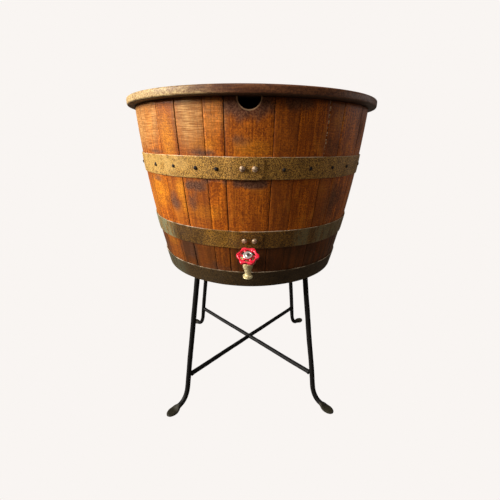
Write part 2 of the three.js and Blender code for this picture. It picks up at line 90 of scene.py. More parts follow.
BAR_RADIUS = 0.0078
BAR_SIDES = 20
BAR_SWAY = 0.0011
LEG_SPLAY = 0.168  # how far a leg goes out for each metre down
KNEE_Z = 0.062  # where a leg starts to bend outwards
TOE = (0.324, 0.0088)  # (out, z) where the bend ends and the pad starts
TOE_CORNER_Z = 0.0124  # where the bend would have its corner if it were sharp
FOOT_TOP_Z = 0.016  # the browner iron of the foot reaches this high
PAD_HALF_LENGTH = 0.023
PAD_HALF_WIDTH = 0.0155
PAD_HEIGHT = 0.007
STRETCHER_RADIUS = 0.007

# ---------------------------------------------------------------- reading the frame


def node_points(name):
    return [v.co.copy() for v in frame["nodes"][name].data.vertices]


def centre_of(name):
    low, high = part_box(name)
    return (low + high) / 2


def heights_of(name):
    low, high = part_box(name)
    return low.z, high.z


def angle_of(point):
    return math.atan2(point.x, -point.y)


def span_of(name):
    """The angles at which a stave starts and ends."""
    points = node_points(name)
    middle = angle_of(sum(points, Vector()) / len(points))
    turned = [Matrix.Rotation(-middle, 3, "Z") @ p for p in points]
    offsets = [angle_of(p) for p in turned]
    return middle + min(offsets), middle + max(offsets)


def wall_curve():
    """The tub's outer radius as a parabola in height, through three corners of a plain stave."""
    points = node_points("stave_14")
    low, high = heights_of("stave_14")
    heights = [low, (low + high) / 2, high]
    radii = [
        max(math.hypot(p.x, p.y) for p in points if abs(p.z - z) < 0.001)
        for z in heights
    ]
    span = heights[1] - heights[0]
    first = (radii[1] - radii[0]) / span
    second = (radii[2] - 2 * radii[1] + radii[0]) / (2 * span * span)
    return heights[0], heights[1], radii[0], first, second


CURVE_START, CURVE_MIDDLE, CURVE_RADIUS, CURVE_FIRST, CURVE_SECOND = wall_curve()


def wall_radius(z):
    up = z - CURVE_START
    return CURVE_RADIUS + CURVE_FIRST * up + CURVE_SECOND * up * (z - CURVE_MIDDLE)


def wall_lean(z):
    """How far the wall leans out from plumb."""
    slope = CURVE_FIRST + CURVE_SECOND * (2 * z - CURVE_START - CURVE_MIDDLE)
    return math.atan(slope)


def around(angle, radius, z):
    return Vector((radius * math.sin(angle), -radius * math.cos(angle), z))


def wall_place(angle, z, proud=0.0):
    """A frame on the wall's face whose Z points straight out of it."""
    outwards = Matrix.Rotation(math.pi / 2 + wall_lean(z), 4, "X")
    turn = Matrix.Rotation(angle, 4, "Z")
    place = Matrix.Translation(around(0, wall_radius(z), z))
    return turn @ place @ outwards @ Matrix.Translation((0, 0, proud))


CHIME_Z, RIM_Z = heights_of("stave_14")
HEAD_MIDDLE = centre_of("bottom_board_middle").z


def notch_radius():
    """The bung notch reaches down to the highest corners in the middle of its stave below the rim."""
    middle = [p.z for p in node_points("bung_stave") if abs(p.x) < 0.003]
    return RIM_Z - max(z for z in middle if z < RIM_Z - 0.01)


NOTCH_RADIUS = notch_radius()

# ---------------------------------------------------------------- meshes

Z_TO_FRONT = Matrix.Rotation(math.pi / 2, 4, "X")


def smoothstep(value, low, high):
    t = min(1, max(0, (value - low) / (high - low)))
    return t * t * (3 - 2 * t)


def curved(start, corner, end, t):
    """A point on the arc that rounds off a corner: t goes from 0 at the start to 1 at the end."""
    return start * (1 - t) ** 2 + corner * 2 * t * (1 - t) + end * t * t


def on_circle(radius, angle):
    return Vector((radius * math.cos(angle), radius * math.sin(angle)))


def band(degrees, start, end, fade_in, fade_out):
    """One between two angles, fading out beyond them."""
    risen = smoothstep(degrees, start - fade_in, start)
    return risen * (1 - smoothstep(degrees, end, end + fade_out))


def banded(bands, degrees):
    return sum(strength * band(degrees, *sides) for strength, *sides in bands)


def wander(*place):
    """A smooth random value between about -1 and 1 that depends only on the place."""
    return noise.noise(Vector(place))


def skin(bm, pairs):
    """Faces between pairs of rows of vertices; a row on the axis is one vertex repeated."""
    for near, far in pairs:
        count = len(near)
        for i in range(count):
            j = (i + 1) % count
            bm.faces.new(list(dict.fromkeys((near[i], near[j], far[j], far[i]))))


def loft(rings):
    """A closed skin over rings of points that all have the same count."""
    bm = bmesh.new()
    rows = [[bm.verts.new(p) for p in ring] for ring in rings]
    skin(bm, zip(rows, rows[1:]))
    bm.faces.new(reversed(rows[0]))
    bm.faces.new(rows[-1])
    bmesh.ops.recalc_face_normals(bm, faces=bm.faces)
    return bm


def lathe(profile, segments=64):
    """A turned solid about Z from (radius, z) points; it starts and ends on the axis or closes."""
    bm = bmesh.new()
    angles = [2 * math.pi * i / segments for i in range(segments)]
    rows = []
    for radius, z in profile:
        if radius == 0:
            rows.append([bm.verts.new((0, 0, z))] * segments)
        else:
            rows.append([bm.verts.new((radius * math.cos(a), radius * math.sin(a), z)) for a in angles])
    pairs = list(zip(rows, rows[1:]))
    if profile[0][0] > 0:
        pairs.append((rows[-1], rows[0]))
    skin(bm, pairs)
    bmesh.ops.recalc_face_normals(bm, faces=bm.faces)
    return bm


def rounded_profile(corners, rounding, steps=3):
    """Corner points with each corner turned into a short arc, except those on the axis."""
    rounded = []
    count = len(corners)
    for i, (radius, z) in enumerate(corners):
        here = Vector((radius, z))
        before = Vector(corners[i - 1])
        after = Vector(corners[(i + 1) % count])
        if radius == 0:
            rounded.append((0, z))
            continue
        reach = min(rounding, (here - before).length / 2.2, (here - after).length / 2.2)
        start = here + (before - here).normalized() * reach
        end = here + (after - here).normalized() * reach
        for step in range(steps + 1):
            point = curved(start, here, end, step / steps)
            rounded.append((max(point.x, 1e-6), point.y))
    return rounded


def mesh_of(name, bm):
    mesh = bpy.data.meshes.new(name)
    bm.to_mesh(mesh)
    bm.free()
    return mesh


def placed(name, bm, place):
    bmesh.ops.transform(bm, matrix=place, verts=bm.verts)
    return mesh_of(name, bm)


def cube_of(name, size, place):
    """A cuboid of the given size about the origin of a place."""
    bm = bmesh.new()
    bmesh.ops.create_cube(bm, size=1)
    return placed(name, bm, place @ Matrix.Diagonal((*size, 1)))


def object_of(name, mesh):
    made = bpy.data.objects.new(name, mesh)
    bpy.context.scene.collection.objects.link(made)
    return made


def shade(mesh, sharp_degrees=38):
    for polygon in mesh.polygons:
        polygon.use_smooth = True
    mesh.set_sharp_from_angle(angle=math.radians(sharp_degrees))


def piece(name, mesh, material, body, replaced=(), sharp_degrees=38):
    """A finished piece: a shaded mesh with its material, riding on a body."""
    mesh.materials.clear()
    mesh.materials.append(material)
    shade(mesh, sharp_degrees)
    made = object_of(name, mesh)
    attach(made, body)
    if replaced:
        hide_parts(*replaced)


def with_modifiers(mesh, *settings):
    """The mesh after the given modifiers, each a (type, {setting: value}) pair."""
    holder = object_of("holder", mesh)
    for kind, values in settings:
        modifier = holder.modifiers.new(kind, kind)
        for key, value in values.items():
            setattr(modifier, key, value)
    graph = bpy.context.evaluated_depsgraph_get()
    result = bpy.data.meshes.new_from_object(holder.evaluated_get(graph))
    bpy.data.objects.remove(holder)
    return result


def combined(mesh, others, operation):
    """The mesh joined with, or cut by, other closed meshes."""
    tools = [object_of("tool", other) for other in others]
    steps = [
        ("BOOLEAN", {"object": tool, "operation": operation, "solver": "EXACT"})
        for tool in tools
    ]
    result = with_modifiers(mesh, *steps)
    for tool in tools:
        bpy.data.objects.remove(tool)
    return result


def bevelled(mesh, width, segments=2, degrees=40):
    settings = {
        "width": width,
        "segments": segments,
        "limit_method": "ANGLE",
        "angle_limit": math.radians(degrees),
    }
    return with_modifiers(mesh, ("BEVEL", settings))


def write_attribute(mesh, name, value_at, kind="FLOAT"):
    """Writes value_at(point) to a point attribute of the mesh."""
    attribute = mesh.attributes.new(name, kind, "POINT")
    key = "vector" if kind == "FLOAT_VECTOR" else "value"
    for item, vertex in zip(attribute.data, mesh.vertices):
        setattr(item, key, value_at(vertex.co))


# ---------------------------------------------------------------- materials


class Finish:
    """A material being built: each call adds a node and gives its output."""

    def __init__(self, name, specular=0.5, metallic=0.0, coat=0.0, coat_roughness=0.3):
        self.material = bpy.data.materials.new(name)
        self.material.use_nodes = True
        self.tree = self.material.node_tree
        self.shader = self.tree.nodes["Principled BSDF"]
        self.wire(self.shader, {"Specular IOR Level": specular, "Metallic": metallic})
        self.wire(self.shader, {"Coat Weight": coat, "Coat Roughness": coat_roughness})

    def wire(self, node, inputs):
        """Links each input of a node to a socket, or sets it to a value."""
        for key, value in inputs.items():
            if isinstance(value, bpy.types.NodeSocket):
                self.tree.links.new(value, node.inputs[key])
            else:
                node.inputs[key].default_value = value

    def add(self, kind, inputs=None, output=0, **settings):
        node = self.tree.nodes.new(kind)
        for key, value in settings.items():
            setattr(node, key, value)
        self.wire(node, inputs or {})
        return node.outputs[output]

    def attribute(self, name, output="Fac"):
        return self.add("ShaderNodeAttribute", output=output, attribute_name=name)

    def place(self):
        return self.add("ShaderNodeTexCoord", output="Object")

    def parts(self, vector):
        """The X, Y and Z of a vector, by name."""
        return self.add("ShaderNodeSeparateXYZ", {"Vector": vector}).node.outputs

    def noise(self, vector, scale, detail=3.0, roughness=0.55, distortion=0.0):
        """Smooth noise, with one scale or with one for each direction."""
        if isinstance(scale, tuple):
            vector = self.add("ShaderNodeMapping", {"Vector": vector, "Scale": scale})
            scale = 1.0
        inputs = {
            "Vector": vector,
            "Scale": scale,
            "Detail": detail,
            "Roughness": roughness,
            "Distortion": distortion,
        }
        return self.add("ShaderNodeTexNoise", inputs)

    def between(self, value, low, high, to_low=0.0, to_high=1.0):
        inputs = {
            "Value": value,
            "From Min": low,
            "From Max": high,
            "To Min": to_low,
            "To Max": to_high,
        }
        return self.add("ShaderNodeMapRange", inputs, interpolation_type="SMOOTHSTEP")

    def maths(self, operation, first, second=0.5):
        return self.add("ShaderNodeMath", {0: first, 1: second}, operation=operation)

    def plus(self, first, second):
        return self.maths("ADD", first, second)

    def times(self, first, second):
        return self.maths("MULTIPLY", first, second)

    def length(self, first, second):
        return self.maths("SQRT", self.plus(self.times(first, first), self.times(second, second)))

    def blend(self, factor, first, second, kind="MIX"):
        inputs = {"Fac": factor, "Color1": first, "Color2": second}
        return self.add("ShaderNodeMixRGB", inputs, blend_type=kind)

    def tint(self, color, value, low, high, share, paint):
        """The colour, covered by up to a share of the paint as the value goes from low to high."""
        return self.blend(self.between(value, low, high, 0, share), color, paint)

    def bump(self, height, distance, strength=1.0, normal=None):
        inputs = {"Height": height, "Distance": distance, "Strength": strength}
        if normal is not None:
            inputs["Normal"] = normal
        return self.add("ShaderNodeBump", inputs)

    def done(self, color, roughness, normal):
        self.wire(self.shader, {"Base Color": color, "Roughness": roughness, "Normal": normal})
        return self.material


def rgb(red, green, blue):
    return (red, green, blue, 1.0)


def fresh_oak(f, grain, figure, blotches, speckle):
    """The varnished wood: fine streaks, a broad figure, warm blotches and painted highlights."""
    fibres = f.noise(grain, (260, 260, 9), detail=4, roughness=0.6)
    streaks = f.plus(f.times(fibres, 0.4), f.times(speckle, 0.6))
    color = f.blend(f.between(streaks, 0.40, 0.60), rgb(0.20, 0.040, 0.0035), rgb(0.74, 0.190, 0.009))
    color = f.tint(color, figure, 0.44, 0.62, 0.55, rgb(0.22, 0.044, 0.005))
    color = f.tint(color, blotches, 0.52, 0.70, 0.6, rgb(0.82, 0.25, 0.011))
    # painted highlights, brighter orange where the light falls
    glow = f.times(f.attribute("glow"), f.between(speckle, 0.35, 0.62, 0.25, 1))
    color = f.blend(glow, color, rgb(0.98, 0.36, 0.018))
    return f.tint(color, f.attribute("tone"), 0, 1, 0.5, rgb(0.20, 0.055, 0.012))


def weathered(f, color, stain, figure, blotches, ripples, speckle):
    """The wood's pale patches of bleaching and painted sheen, its stains, its darkening low on the wall and the
    painted shadow under the lid.
    """
    # pale patches: bleached wood, with painted sheen where the light falls
    pale = f.times(f.attribute("pale"), f.between(blotches, 0.25, 0.6, 1.0, 0.45))
    pale_oak = f.blend(f.between(ripples, 0.4, 0.6), rgb(0.52, 0.25, 0.070), rgb(0.80, 0.45, 0.150))
    color = f.blend(pale, color, pale_oak)
    stained = f.blend(f.between(speckle, 0.4, 0.6), rgb(0.050, 0.021, 0.014), rgb(0.17, 0.078, 0.045))
    color = f.blend(stain, color, stained)
    # darker low on the wall, and the painted shadow under the lid
    grime = f.times(f.attribute("grime"), f.between(figure, 0.35, 0.65, 1.0, 0.72))
    return f.blend(grime, color, rgb(0.060, 0.019, 0.0045))


def joint_marks(f, color, grain, blotches):
    """Dirt in the joints between staves, and bare splinters along the split one."""
    edge = f.attribute("edge")
    wear = f.attribute("joint")
    reach = f.times(f.between(blotches, 0.35, 0.65, 0.0008, 0.0024), wear)
    limits = {"Value": edge, "From Min": 0.0001, "From Max": reach, "To Min": 0.95, "To Max": 0}
    dirt = f.times(f.add("ShaderNodeMapRange", limits), f.between(wear, 0.1, 0.8, 0.3, 1))
    color = f.blend(dirt, color, rgb(0.014, 0.006, 0.003))
    splinters = f.noise(grain, (20, 20, 190), detail=2)
    split = f.times(f.attribute("split"), f.between(edge, 0.0024, 0.0008))
    split = f.times(split, f.between(splinters, 0.50, 0.58))
    return f.blend(split, color, rgb(0.75, 0.52, 0.32))


def bung_rim(f):
    """A thin line of bare wood round the edge of the bung notch."""
    parts = f.parts(f.place())
    from_axis = f.length(parts["X"], f.maths("SUBTRACT", parts["Z"], RIM_Z))
    near = f.between(from_axis, NOTCH_RADIUS + 0.0032, NOTCH_RADIUS + 0.0012, 0, 0.85)
    return f.times(near, f.between(parts["Y"], 0, -0.1))


def stave_oak():
    """Varnished oak, grain up the stave, stained beside the hoops, dark in joints; with painted sheen, highlights
    and lid shadow.
    """
    f = Finish("oak_staves", specular=0.16, coat=0.03, coat_roughness=0.3)
    grain = f.attribute("grain", "Vector")
    figure = f.noise(grain, (60, 60, 7), detail=4, distortion=0.8)
    blotches = f.noise(grain, (26, 26, 13), detail=5, roughness=0.65)
    ripples = f.noise(grain, (30, 30, 520), detail=3, roughness=0.65)
    speckle = f.noise(grain, 330, 3, 0.7)
    pores = f.noise(grain, (900, 900, 40), detail=1)
    stain_edge = f.plus(f.attribute("stain"), f.between(blotches, 0.3, 0.7, -0.35, 0.35))
    stain = f.between(stain_edge, 0.15, 0.95, 0, 0.92)

    color = fresh_oak(f, grain, figure, blotches, speckle)
    color = weathered(f, color, stain, figure, blotches, ripples, speckle)
    bright = f.blend(1.0, color, rgb(1.35, 1.38, 1.45), "MULTIPLY")
    color = f.tint(color, ripples, 0.50, 0.70, 0.75, bright)
    color = f.tint(color, ripples, 0.46, 0.30, 0.38, rgb(0.10, 0.028, 0.006))
    color = f.tint(color, pores, 0.62, 0.74, 0.4, rgb(0.05, 0.016, 0.006))
    color = joint_marks(f, color, grain, blotches)
    color = f.blend(bung_rim(f), color, rgb(0.50, 0.30, 0.16))

    wetness = f.plus(f.times(speckle, 0.5), stain)
    roughness = f.between(wetness, 0.1, 1.2, 0.48, 0.78)
    normal = f.bump(speckle, 0.0006, 0.7)
    normal = f.bump(ripples, 0.0006, 0.6, normal)
    normal = f.bump(pores, -0.0003, 0.5, normal)
    return f.done(color, roughness, normal)


def board_oak(name, dark, light, worn, middle_board):
    """Oak boards whose grain runs along X, paler at the left end with bleaching and painted sheen, with dirt in
    their seams and painted shade under the lid's edge.
    """
    f = Finish(name, specular=0.3, coat=0.06)
    place = f.place()
    fibres = f.noise(place, (10, 280, 280), detail=4, roughness=0.65)
    figure = f.noise(place, (4, 60, 60), detail=3, distortion=0.8)
    blotches = f.noise(place, (12, 16, 40), detail=4)
    speckle = f.noise(place, 330, 3, 0.7)
    pores = f.noise(place, (60, 850, 850), detail=1)
    streaks = f.plus(f.times(fibres, 0.5), f.times(speckle, 0.5))
    color = f.blend(f.between(streaks, 0.38, 0.62), dark, light)
    color = f.tint(color, figure, 0.45, 0.7, 0.5, dark)
    parts = f.parts(place)
    # The left end is paler: bleached wood, with painted sheen where the key light falls.
    side = f.plus(parts["X"], f.between(figure, 0.3, 0.7, -0.04, 0.04))
    near_rim = f.between(f.length(parts["X"], parts["Y"]), 0.25, 0.330, 0.06, 1)
    worn_and_sheen_side = f.times(f.between(side, -0.02, -0.20), near_rim)
    worn_and_sheen_mask = f.times(worn_and_sheen_side, f.between(blotches, 0.25, 0.5, 0.75, 1))
    color = f.blend(worn_and_sheen_mask, color, f.blend(f.between(streaks, 0.36, 0.60), light, worn))
    color = f.tint(color, pores, 0.6, 0.72, 0.5, rgb(0.03, 0.014, 0.007))
    for side_of_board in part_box(middle_board):
        from_seam = f.maths("ABSOLUTE", f.maths("SUBTRACT", parts["Y"], side_of_board.y))
        color = f.tint(color, from_seam, 0.0032, 0.0008, 0.9, rgb(0.012, 0.006, 0.003))
    # Painted shade along the underside of the lid's overhanging edge.
    painted_shade_heights = (RIM_Z + 0.0042, RIM_Z + 0.0010)
    color = f.tint(color, parts["Z"], *painted_shade_heights, 0.85, rgb(0.035, 0.020, 0.012))
    roughness = f.between(blotches, 0.3, 0.7, 0.45, 0.68)
    normal = f.bump(streaks, 0.0005, 0.7)
    normal = f.bump(pores, -0.0003, 0.4, normal)
    return f.done(color, roughness, normal)


def hoop_steel(name, dark, light, bloom, drip_scale=(95, 95, 14), metallic=0.2):
    """Old hoop steel: a grainy patina with rust-dark pits, drips of paler bloom, rubbed edges and bands of painted
    shade.
    """
    f = Finish(name, specular=0.35, metallic=metallic)
    place = f.place()
    grains = f.noise(place, 420, 4, 0.75)
    clouds = f.noise(place, 30, 4, 0.6)
    drips = f.noise(place, drip_scale, detail=3, roughness=0.6)
    pits = f.noise(place, 620, 2)
    color = f.blend(f.between(grains, 0.45, 0.56), dark, light)
    color = f.tint(color, clouds, 0.50, 0.75, 0.55, dark)
    # bands of painted shade, mostly on the side away from the key light
    shade = f.times(f.attribute("shade"), f.between(drips, 0.3, 0.55, 1, 0.55))
    color = f.blend(shade, color, rgb(0.030, 0.014, 0.006))
    bloom_mask = f.times(f.attribute("bloom"), f.between(drips, 0.36, 0.58, 0.1, 1.0))
    color = f.blend(bloom_mask, color, bloom)
    color = f.tint(color, pits, 0.56, 0.66, 0.8, rgb(0.020, 0.010, 0.005))
    rub = f.times(f.attribute("rub"), f.between(clouds, 0.38, 0.6, 0.1, 0.85))
    color = f.blend(rub, color, rgb(0.66, 0.50, 0.34))
    roughness = f.between(clouds, 0.3, 0.7, 0.42, 0.66)
    normal = f.bump(grains, 0.0005, 0.7)
    normal = f.bump(pits, -0.0004, 0.5, normal)
    normal = f.bump(clouds, 0.0010, 0.5, normal)
    return f.done(color, roughness, normal)


def wrought_iron(name, base, worn, worn_share):
    """Forged bar, blackened, with worn brown metal showing through."""
    f = Finish(name, specular=0.2)
    place = f.place()
    hammering = f.noise(place, 70, 2, 0.4)
    scale = f.noise(place, 520, 3, 0.6)
    rust = f.noise(place, 26, 4, 0.65)
    color = f.blend(f.between(scale, 0.40, 0.8), base, worn)
    color = f.blend(f.between(rust, 0.7 - worn_share, 0.95 - worn_share), base, color)
    roughness = f.between(scale, 0.3, 0.7, 0.56, 0.7)
    normal = f.bump(hammering, 0.0010, 0.25)
    normal = f.bump(scale, 0.0001, 0.12, normal)
    return f.done(color, roughness, normal)


def cast_metal(name, dark, light, metallic, low_roughness, high_roughness):
    """A cast or turned metal with a slightly uneven skin."""
    f = Finish(name, metallic=metallic)
    place = f.place()
    skin = f.noise(place, 260, 3, 0.6)
    smudges = f.noise(place, 60, 3, 0.5)
    color = f.blend(f.between(f.plus(skin, smudges), 0.7, 1.25), dark, light)
    roughness = f.between(smudges, 0.3, 0.7, low_roughness, high_roughness)
    normal = f.bump(skin, 0.0002, 0.5)
    return f.done(color, roughness, normal)


def red_enamel():
    f = Finish("red_enamel", coat=0.6, coat_roughness=0.12)
    place = f.place()
    orange_peel = f.noise(place, 650, 2)
    wear = f.noise(place, 120, 4, 0.6)
    color = f.blend(f.between(wear, 0.35, 0.7), rgb(0.66, 0.010, 0.028), rgb(0.92, 0.032, 0.075))
    color = f.tint(color, wear, 0.68, 0.76, 0.5, rgb(0.20, 0.010, 0.012))
    roughness = f.between(wear, 0.3, 0.7, 0.24, 0.42)
    return f.done(color, roughness, f.bump(orange_peel, 0.0002, 0.4))


def black_rubber():
    f = Finish("black_rubber", specular=0.3)
    place = f.place()
    dust = f.noise(place, 300, 4, 0.6)
    color = f.blend(f.between(dust, 0.4, 0.8), rgb(0.012, 0.012, 0.012), rgb(0.06, 0.055, 0.05))
    return f.done(color, f.between(dust, 0.3, 0.7, 0.7, 0.9), f.bump(dust, 0.0002, 0.5))


OAK = stave_oak()
LID_OAK = board_oak(
    "oak_lid", rgb(0.070, 0.020, 0.007), rgb(0.235, 0.085, 0.029), rgb(0.72, 0.53, 0.235),
    "lid_board_middle",
)
BOTTOM_OAK = board_oak(
    "oak_bottom", rgb(0.10, 0.05, 0.022), rgb(0.27, 0.14, 0.062), rgb(0.3, 0.16, 0.07),
    "bottom_board_middle",
)
UPPER_STEEL = hoop_steel(
    "steel_upper_hoop", rgb(0.13, 0.062, 0.012), rgb(0.74, 0.385, 0.075), rgb(0.70, 0.42, 0.115), (50, 50, 50)
)
MIDDLE_STEEL = hoop_steel(
    "steel_middle_hoop", rgb(0.075, 0.032, 0.006), rgb(0.42, 0.20, 0.028), rgb(0.25, 0.24, 0.13)
)
BOTTOM_STEEL = hoop_steel(
    "steel_bottom_hoop", rgb(0.027, 0.015, 0.005), rgb(0.092, 0.052, 0.016), rgb(0.100, 0.105, 0.062)
)
RIVET_STEEL = hoop_steel(
    "steel_rivets", rgb(0.20, 0.11, 0.065), rgb(0.85, 0.64, 0.42), rgb(0.5, 0.4, 0.3), (50, 50, 50), 0.5
)
NAIL_IRON = wrought_iron("iron_nails", rgb(0.016, 0.011, 0.009), rgb(0.09, 0.06, 0.04), 0.35)
STAND_IRON = wrought_iron("iron_stand", rgb(0.0040, 0.0034, 0.0030), rgb(0.010, 0.008, 0.006), 0.25)
FOOT_IRON = wrought_iron("iron_feet", rgb(0.016, 0.014, 0.008), rgb(0.044, 0.037, 0.021), 0.6)
BRASS = cast_metal("brass_tap", rgb(0.42, 0.31, 0.115), rgb(0.86, 0.74, 0.43), 0.45, 0.3, 0.46)
ALUMINIUM = cast_metal("aluminium_disc", rgb(0.55, 0.54, 0.50), rgb(0.86, 0.85, 0.80), 0.6, 0.26, 0.42)
SCREW_STEEL = cast_metal("steel_screw", rgb(0.12, 0.10, 0.09), rgb(0.36, 0.33, 0.30), 0.8, 0.3, 0.5)
ENAMEL = red_enamel()
RUBBER = black_rubber()

# ---------------------------------------------------------------- staves

# Patches of stain, of pale bleaching with painted sheen, and of painted highlights: (degrees, height, half width,
# half height, strength).
STAINS = [
    (0, 0.866, 12, 0.042, 0.95),
    (18, 0.868, 12, 0.020, 0.55),
    (-2, 0.802, 9, 0.012, 0.45),
    (0, 0.714, 12, 0.013, 0.90),
    (-14, 0.718, 9, 0.008, 0.70),
    (-23.5, 0.704, 6.5, 0.018, 1.00),
    (-25.5, 0.668, 4, 0.030, 0.60),
    (-36.5, 0.664, 4.5, 0.026, 0.60),
    (-50, 0.712, 9, 0.009, 0.55),
    (-34, 0.536, 7.5, 0.032, 1.00),
    (-62, 0.520, 7, 0.030, 0.75),
    (-17, 0.500, 12, 0.020, 0.60),
    (8, 0.520, 12, 0.060, 0.50),
    (28, 0.545, 14, 0.030, 0.60),
    (46, 0.660, 10, 0.080, 0.55),
    (36, 0.795, 7, 0.030, 0.50),
    (22, 0.850, 7, 0.020, 0.40),
    (55, 0.830, 8, 0.050, 0.55),
    (-70, 0.775, 12, 0.010, 0.60),
    (-44, 0.774, 12, 0.010, 0.65),
    (-20, 0.774, 9, 0.011, 0.65),
    (130, 0.700, 24, 0.050, 0.55),
    (170, 0.860, 30, 0.030, 0.50),
    (215, 0.700, 26, 0.040, 0.60),
    (245, 0.530, 22, 0.040, 0.55),
    (110, 0.530, 18, 0.040, 0.55),
]
# Pale patches: bleached wood, with painted sheen on the lit left side and a painted rim light at the right edge.
PALE_AND_SHEEN_PATCHES = [
    (-66, 0.835, 28, 0.065, 0.85),
    (-47, 0.845, 9, 0.070, 0.85),
    (-23, 0.842, 8, 0.062, 0.85),
    (-13, 0.850, 6, 0.045, 0.45),
    (-78, 0.650, 9, 0.060, 0.30),
    (86, 0.820, 10, 0.070, 0.60),
    (84, 0.650, 9, 0.060, 0.35),
    (200, 0.830, 30, 0.050, 0.35),
]
# Painted highlights: brighter orange where the light falls, mostly on the left.
PAINTED_HIGHLIGHTS = [
    (-31.7, 0.693, 3.0, 0.028, 1.00),
    (-30.5, 0.656, 2.2, 0.024, 0.60),
    (-50, 0.680, 11, 0.045, 0.55),
    (-64, 0.650, 12, 0.050, 0.45),
    (-20, 0.645, 9, 0.020, 0.40),
    (-35, 0.800, 4.5, 0.060, 0.75),
    (-47, 0.548, 6, 0.014, 0.50),
    (-18, 0.790, 7, 0.014, 0.45),
    (2, 0.782, 8, 0.022, 0.50),
    (37.5, 0.845, 4, 0.030, 0.45),
    (150, 0.650, 9, 0.040, 0.40),
    (235, 0.820, 9, 0.040, 0.40),
]


def patch_strength(patches, angle, z):
    """The strongest of the patches at a place on the wall, fading to nothing at their edges."""
    strongest = 0.0
    for degrees, height, half_width, half_height, strength in patches:
        away = (math.degrees(angle) - degrees + 180) % 360 - 180
        reach = math.hypot(away / half_width, (z - height) / half_height)
        strongest = max(strongest, strength * (1 - smoothstep(reach, 0.35, 1.25)))
    return strongest


# How worn and dirty the joints are, by their angle in degrees; the others are in between.
JOINTS = {
    -54.8: 0.95, -39.7: 0.25, -29.4: 1.0, -16.9: 0.5, -9.05: 1.0,
    9.05: 0.75, 18.4: 0.3, 31.5: 0.6, 39.4: 0.35, 55.4: 0.85,
}
SPLIT_JOINT = math.radians(31.5)  # its edges have splintered and show bare wood


def joint_wear(angle):
    for degrees, wear in JOINTS.items():
        if abs(math.degrees(angle) - degrees) < 1.2:
            return wear
    return 0.55


def low_dark_and_lid_shadow_at(angle, z):
    """How much the wall is darkened: its lowest part below the middle hoop is darker, and a shadow is painted just
    under the lid.
    """
    degrees = math.degrees(angle)
    less_dark = banded([(0.30, -53, -42, 5, 5), (0.20, -26, -10, 4, 4)], degrees)
    low_dark = (1 - smoothstep(z, 0.562, 0.60)) * (1 - less_dark)
    # a painted shadow under the lid's overhang
    under_lid = 0.85 * smoothstep(z, RIM_Z - 0.012, RIM_Z - 0.003)
    return max(low_dark, under_lid)


def inner_depth(z):
    """How far the inner face lies behind the outer one; the groove for the bottom is deeper."""
    thickness = WALL_THICKNESS
    if z < HEAD_MIDDLE:
        thickness -= CHIME_TAPER * (HEAD_MIDDLE - z) / (HEAD_MIDDLE - CHIME_Z)
    if abs(z - HEAD_MIDDLE) < GROOVE_HALF_HEIGHT - 1e-5:
        thickness -= GROOVE_DEPTH
    return thickness


def stave_heights():
    step = (RIM_Z - CHIME_Z) / STAVE_ROWS
    plain = [CHIME_Z + step * i for i in range(STAVE_ROWS + 1)]
    plain += [CHIME_Z + STAVE_CHAMFER, RIM_Z - STAVE_CHAMFER]
    sides = [HEAD_MIDDLE - GROOVE_HALF_HEIGHT, HEAD_MIDDLE + GROOVE_HALF_HEIGHT]
    clear = [z for z in plain if all(abs(z - side) > 0.002 for side in sides)]
    groove = [side + nudge for side in sides for nudge in (-2e-5, 2e-5)]
    return sorted(clear + groove)


def worn_corner(half, edge, inset):
    """A stave's rounded outer corner as (along, depth) points, from its side to its face."""
    turns = [math.pi / 2 * step / 3 for step in range(4)]
    return [(half - edge * (1 - math.cos(t)), inset + edge * (1 - math.sin(t))) for t in turns]


def stave_section(z, centre, half_angle, wears, seed):
    """The closed outline of a stave at one height."""
    radius = wall_radius(z)
    half = half_angle * radius
    near_end = min(z - CHIME_Z, RIM_Z - z) < STAVE_CHAMFER / 2
    inset = STAVE_CHAMFER if near_end else 0.0
    back = inner_depth(z) - inset
    edges = [STAVE_EDGE * (0.35 + 0.65 * wear) * (1 + 0.4 * wander(seed, z * 9, 4.0)) for wear in wears]
    left, right = (worn_corner(half, edge, inset) for edge in edges)
    span = 2 * half - sum(edges)
    face = [(-half + edges[0] + span * i / STAVE_COLUMNS, inset) for i in range(1, STAVE_COLUMNS)]
    outline = [(-along, depth) for along, depth in left] + face + right[::-1]
    outline += [(half, back - STAVE_CHAMFER), (half - STAVE_CHAMFER, back)]
    outline += [(half * (1 - 2 * i / 5) * 0.98, back) for i in range(1, 5)]
    outline += [(-half + STAVE_CHAMFER, back), (-half, back - STAVE_CHAMFER)]
    ring = []
    for along, depth in outline:
        if depth < back / 2:
            depth += STAVE_DENT * (0.5 + 0.5 * wander(seed + along * 30, z * 7, seed * 1.7))
        ring.append(around(centre + along / radius, radius - depth, z))
    return ring


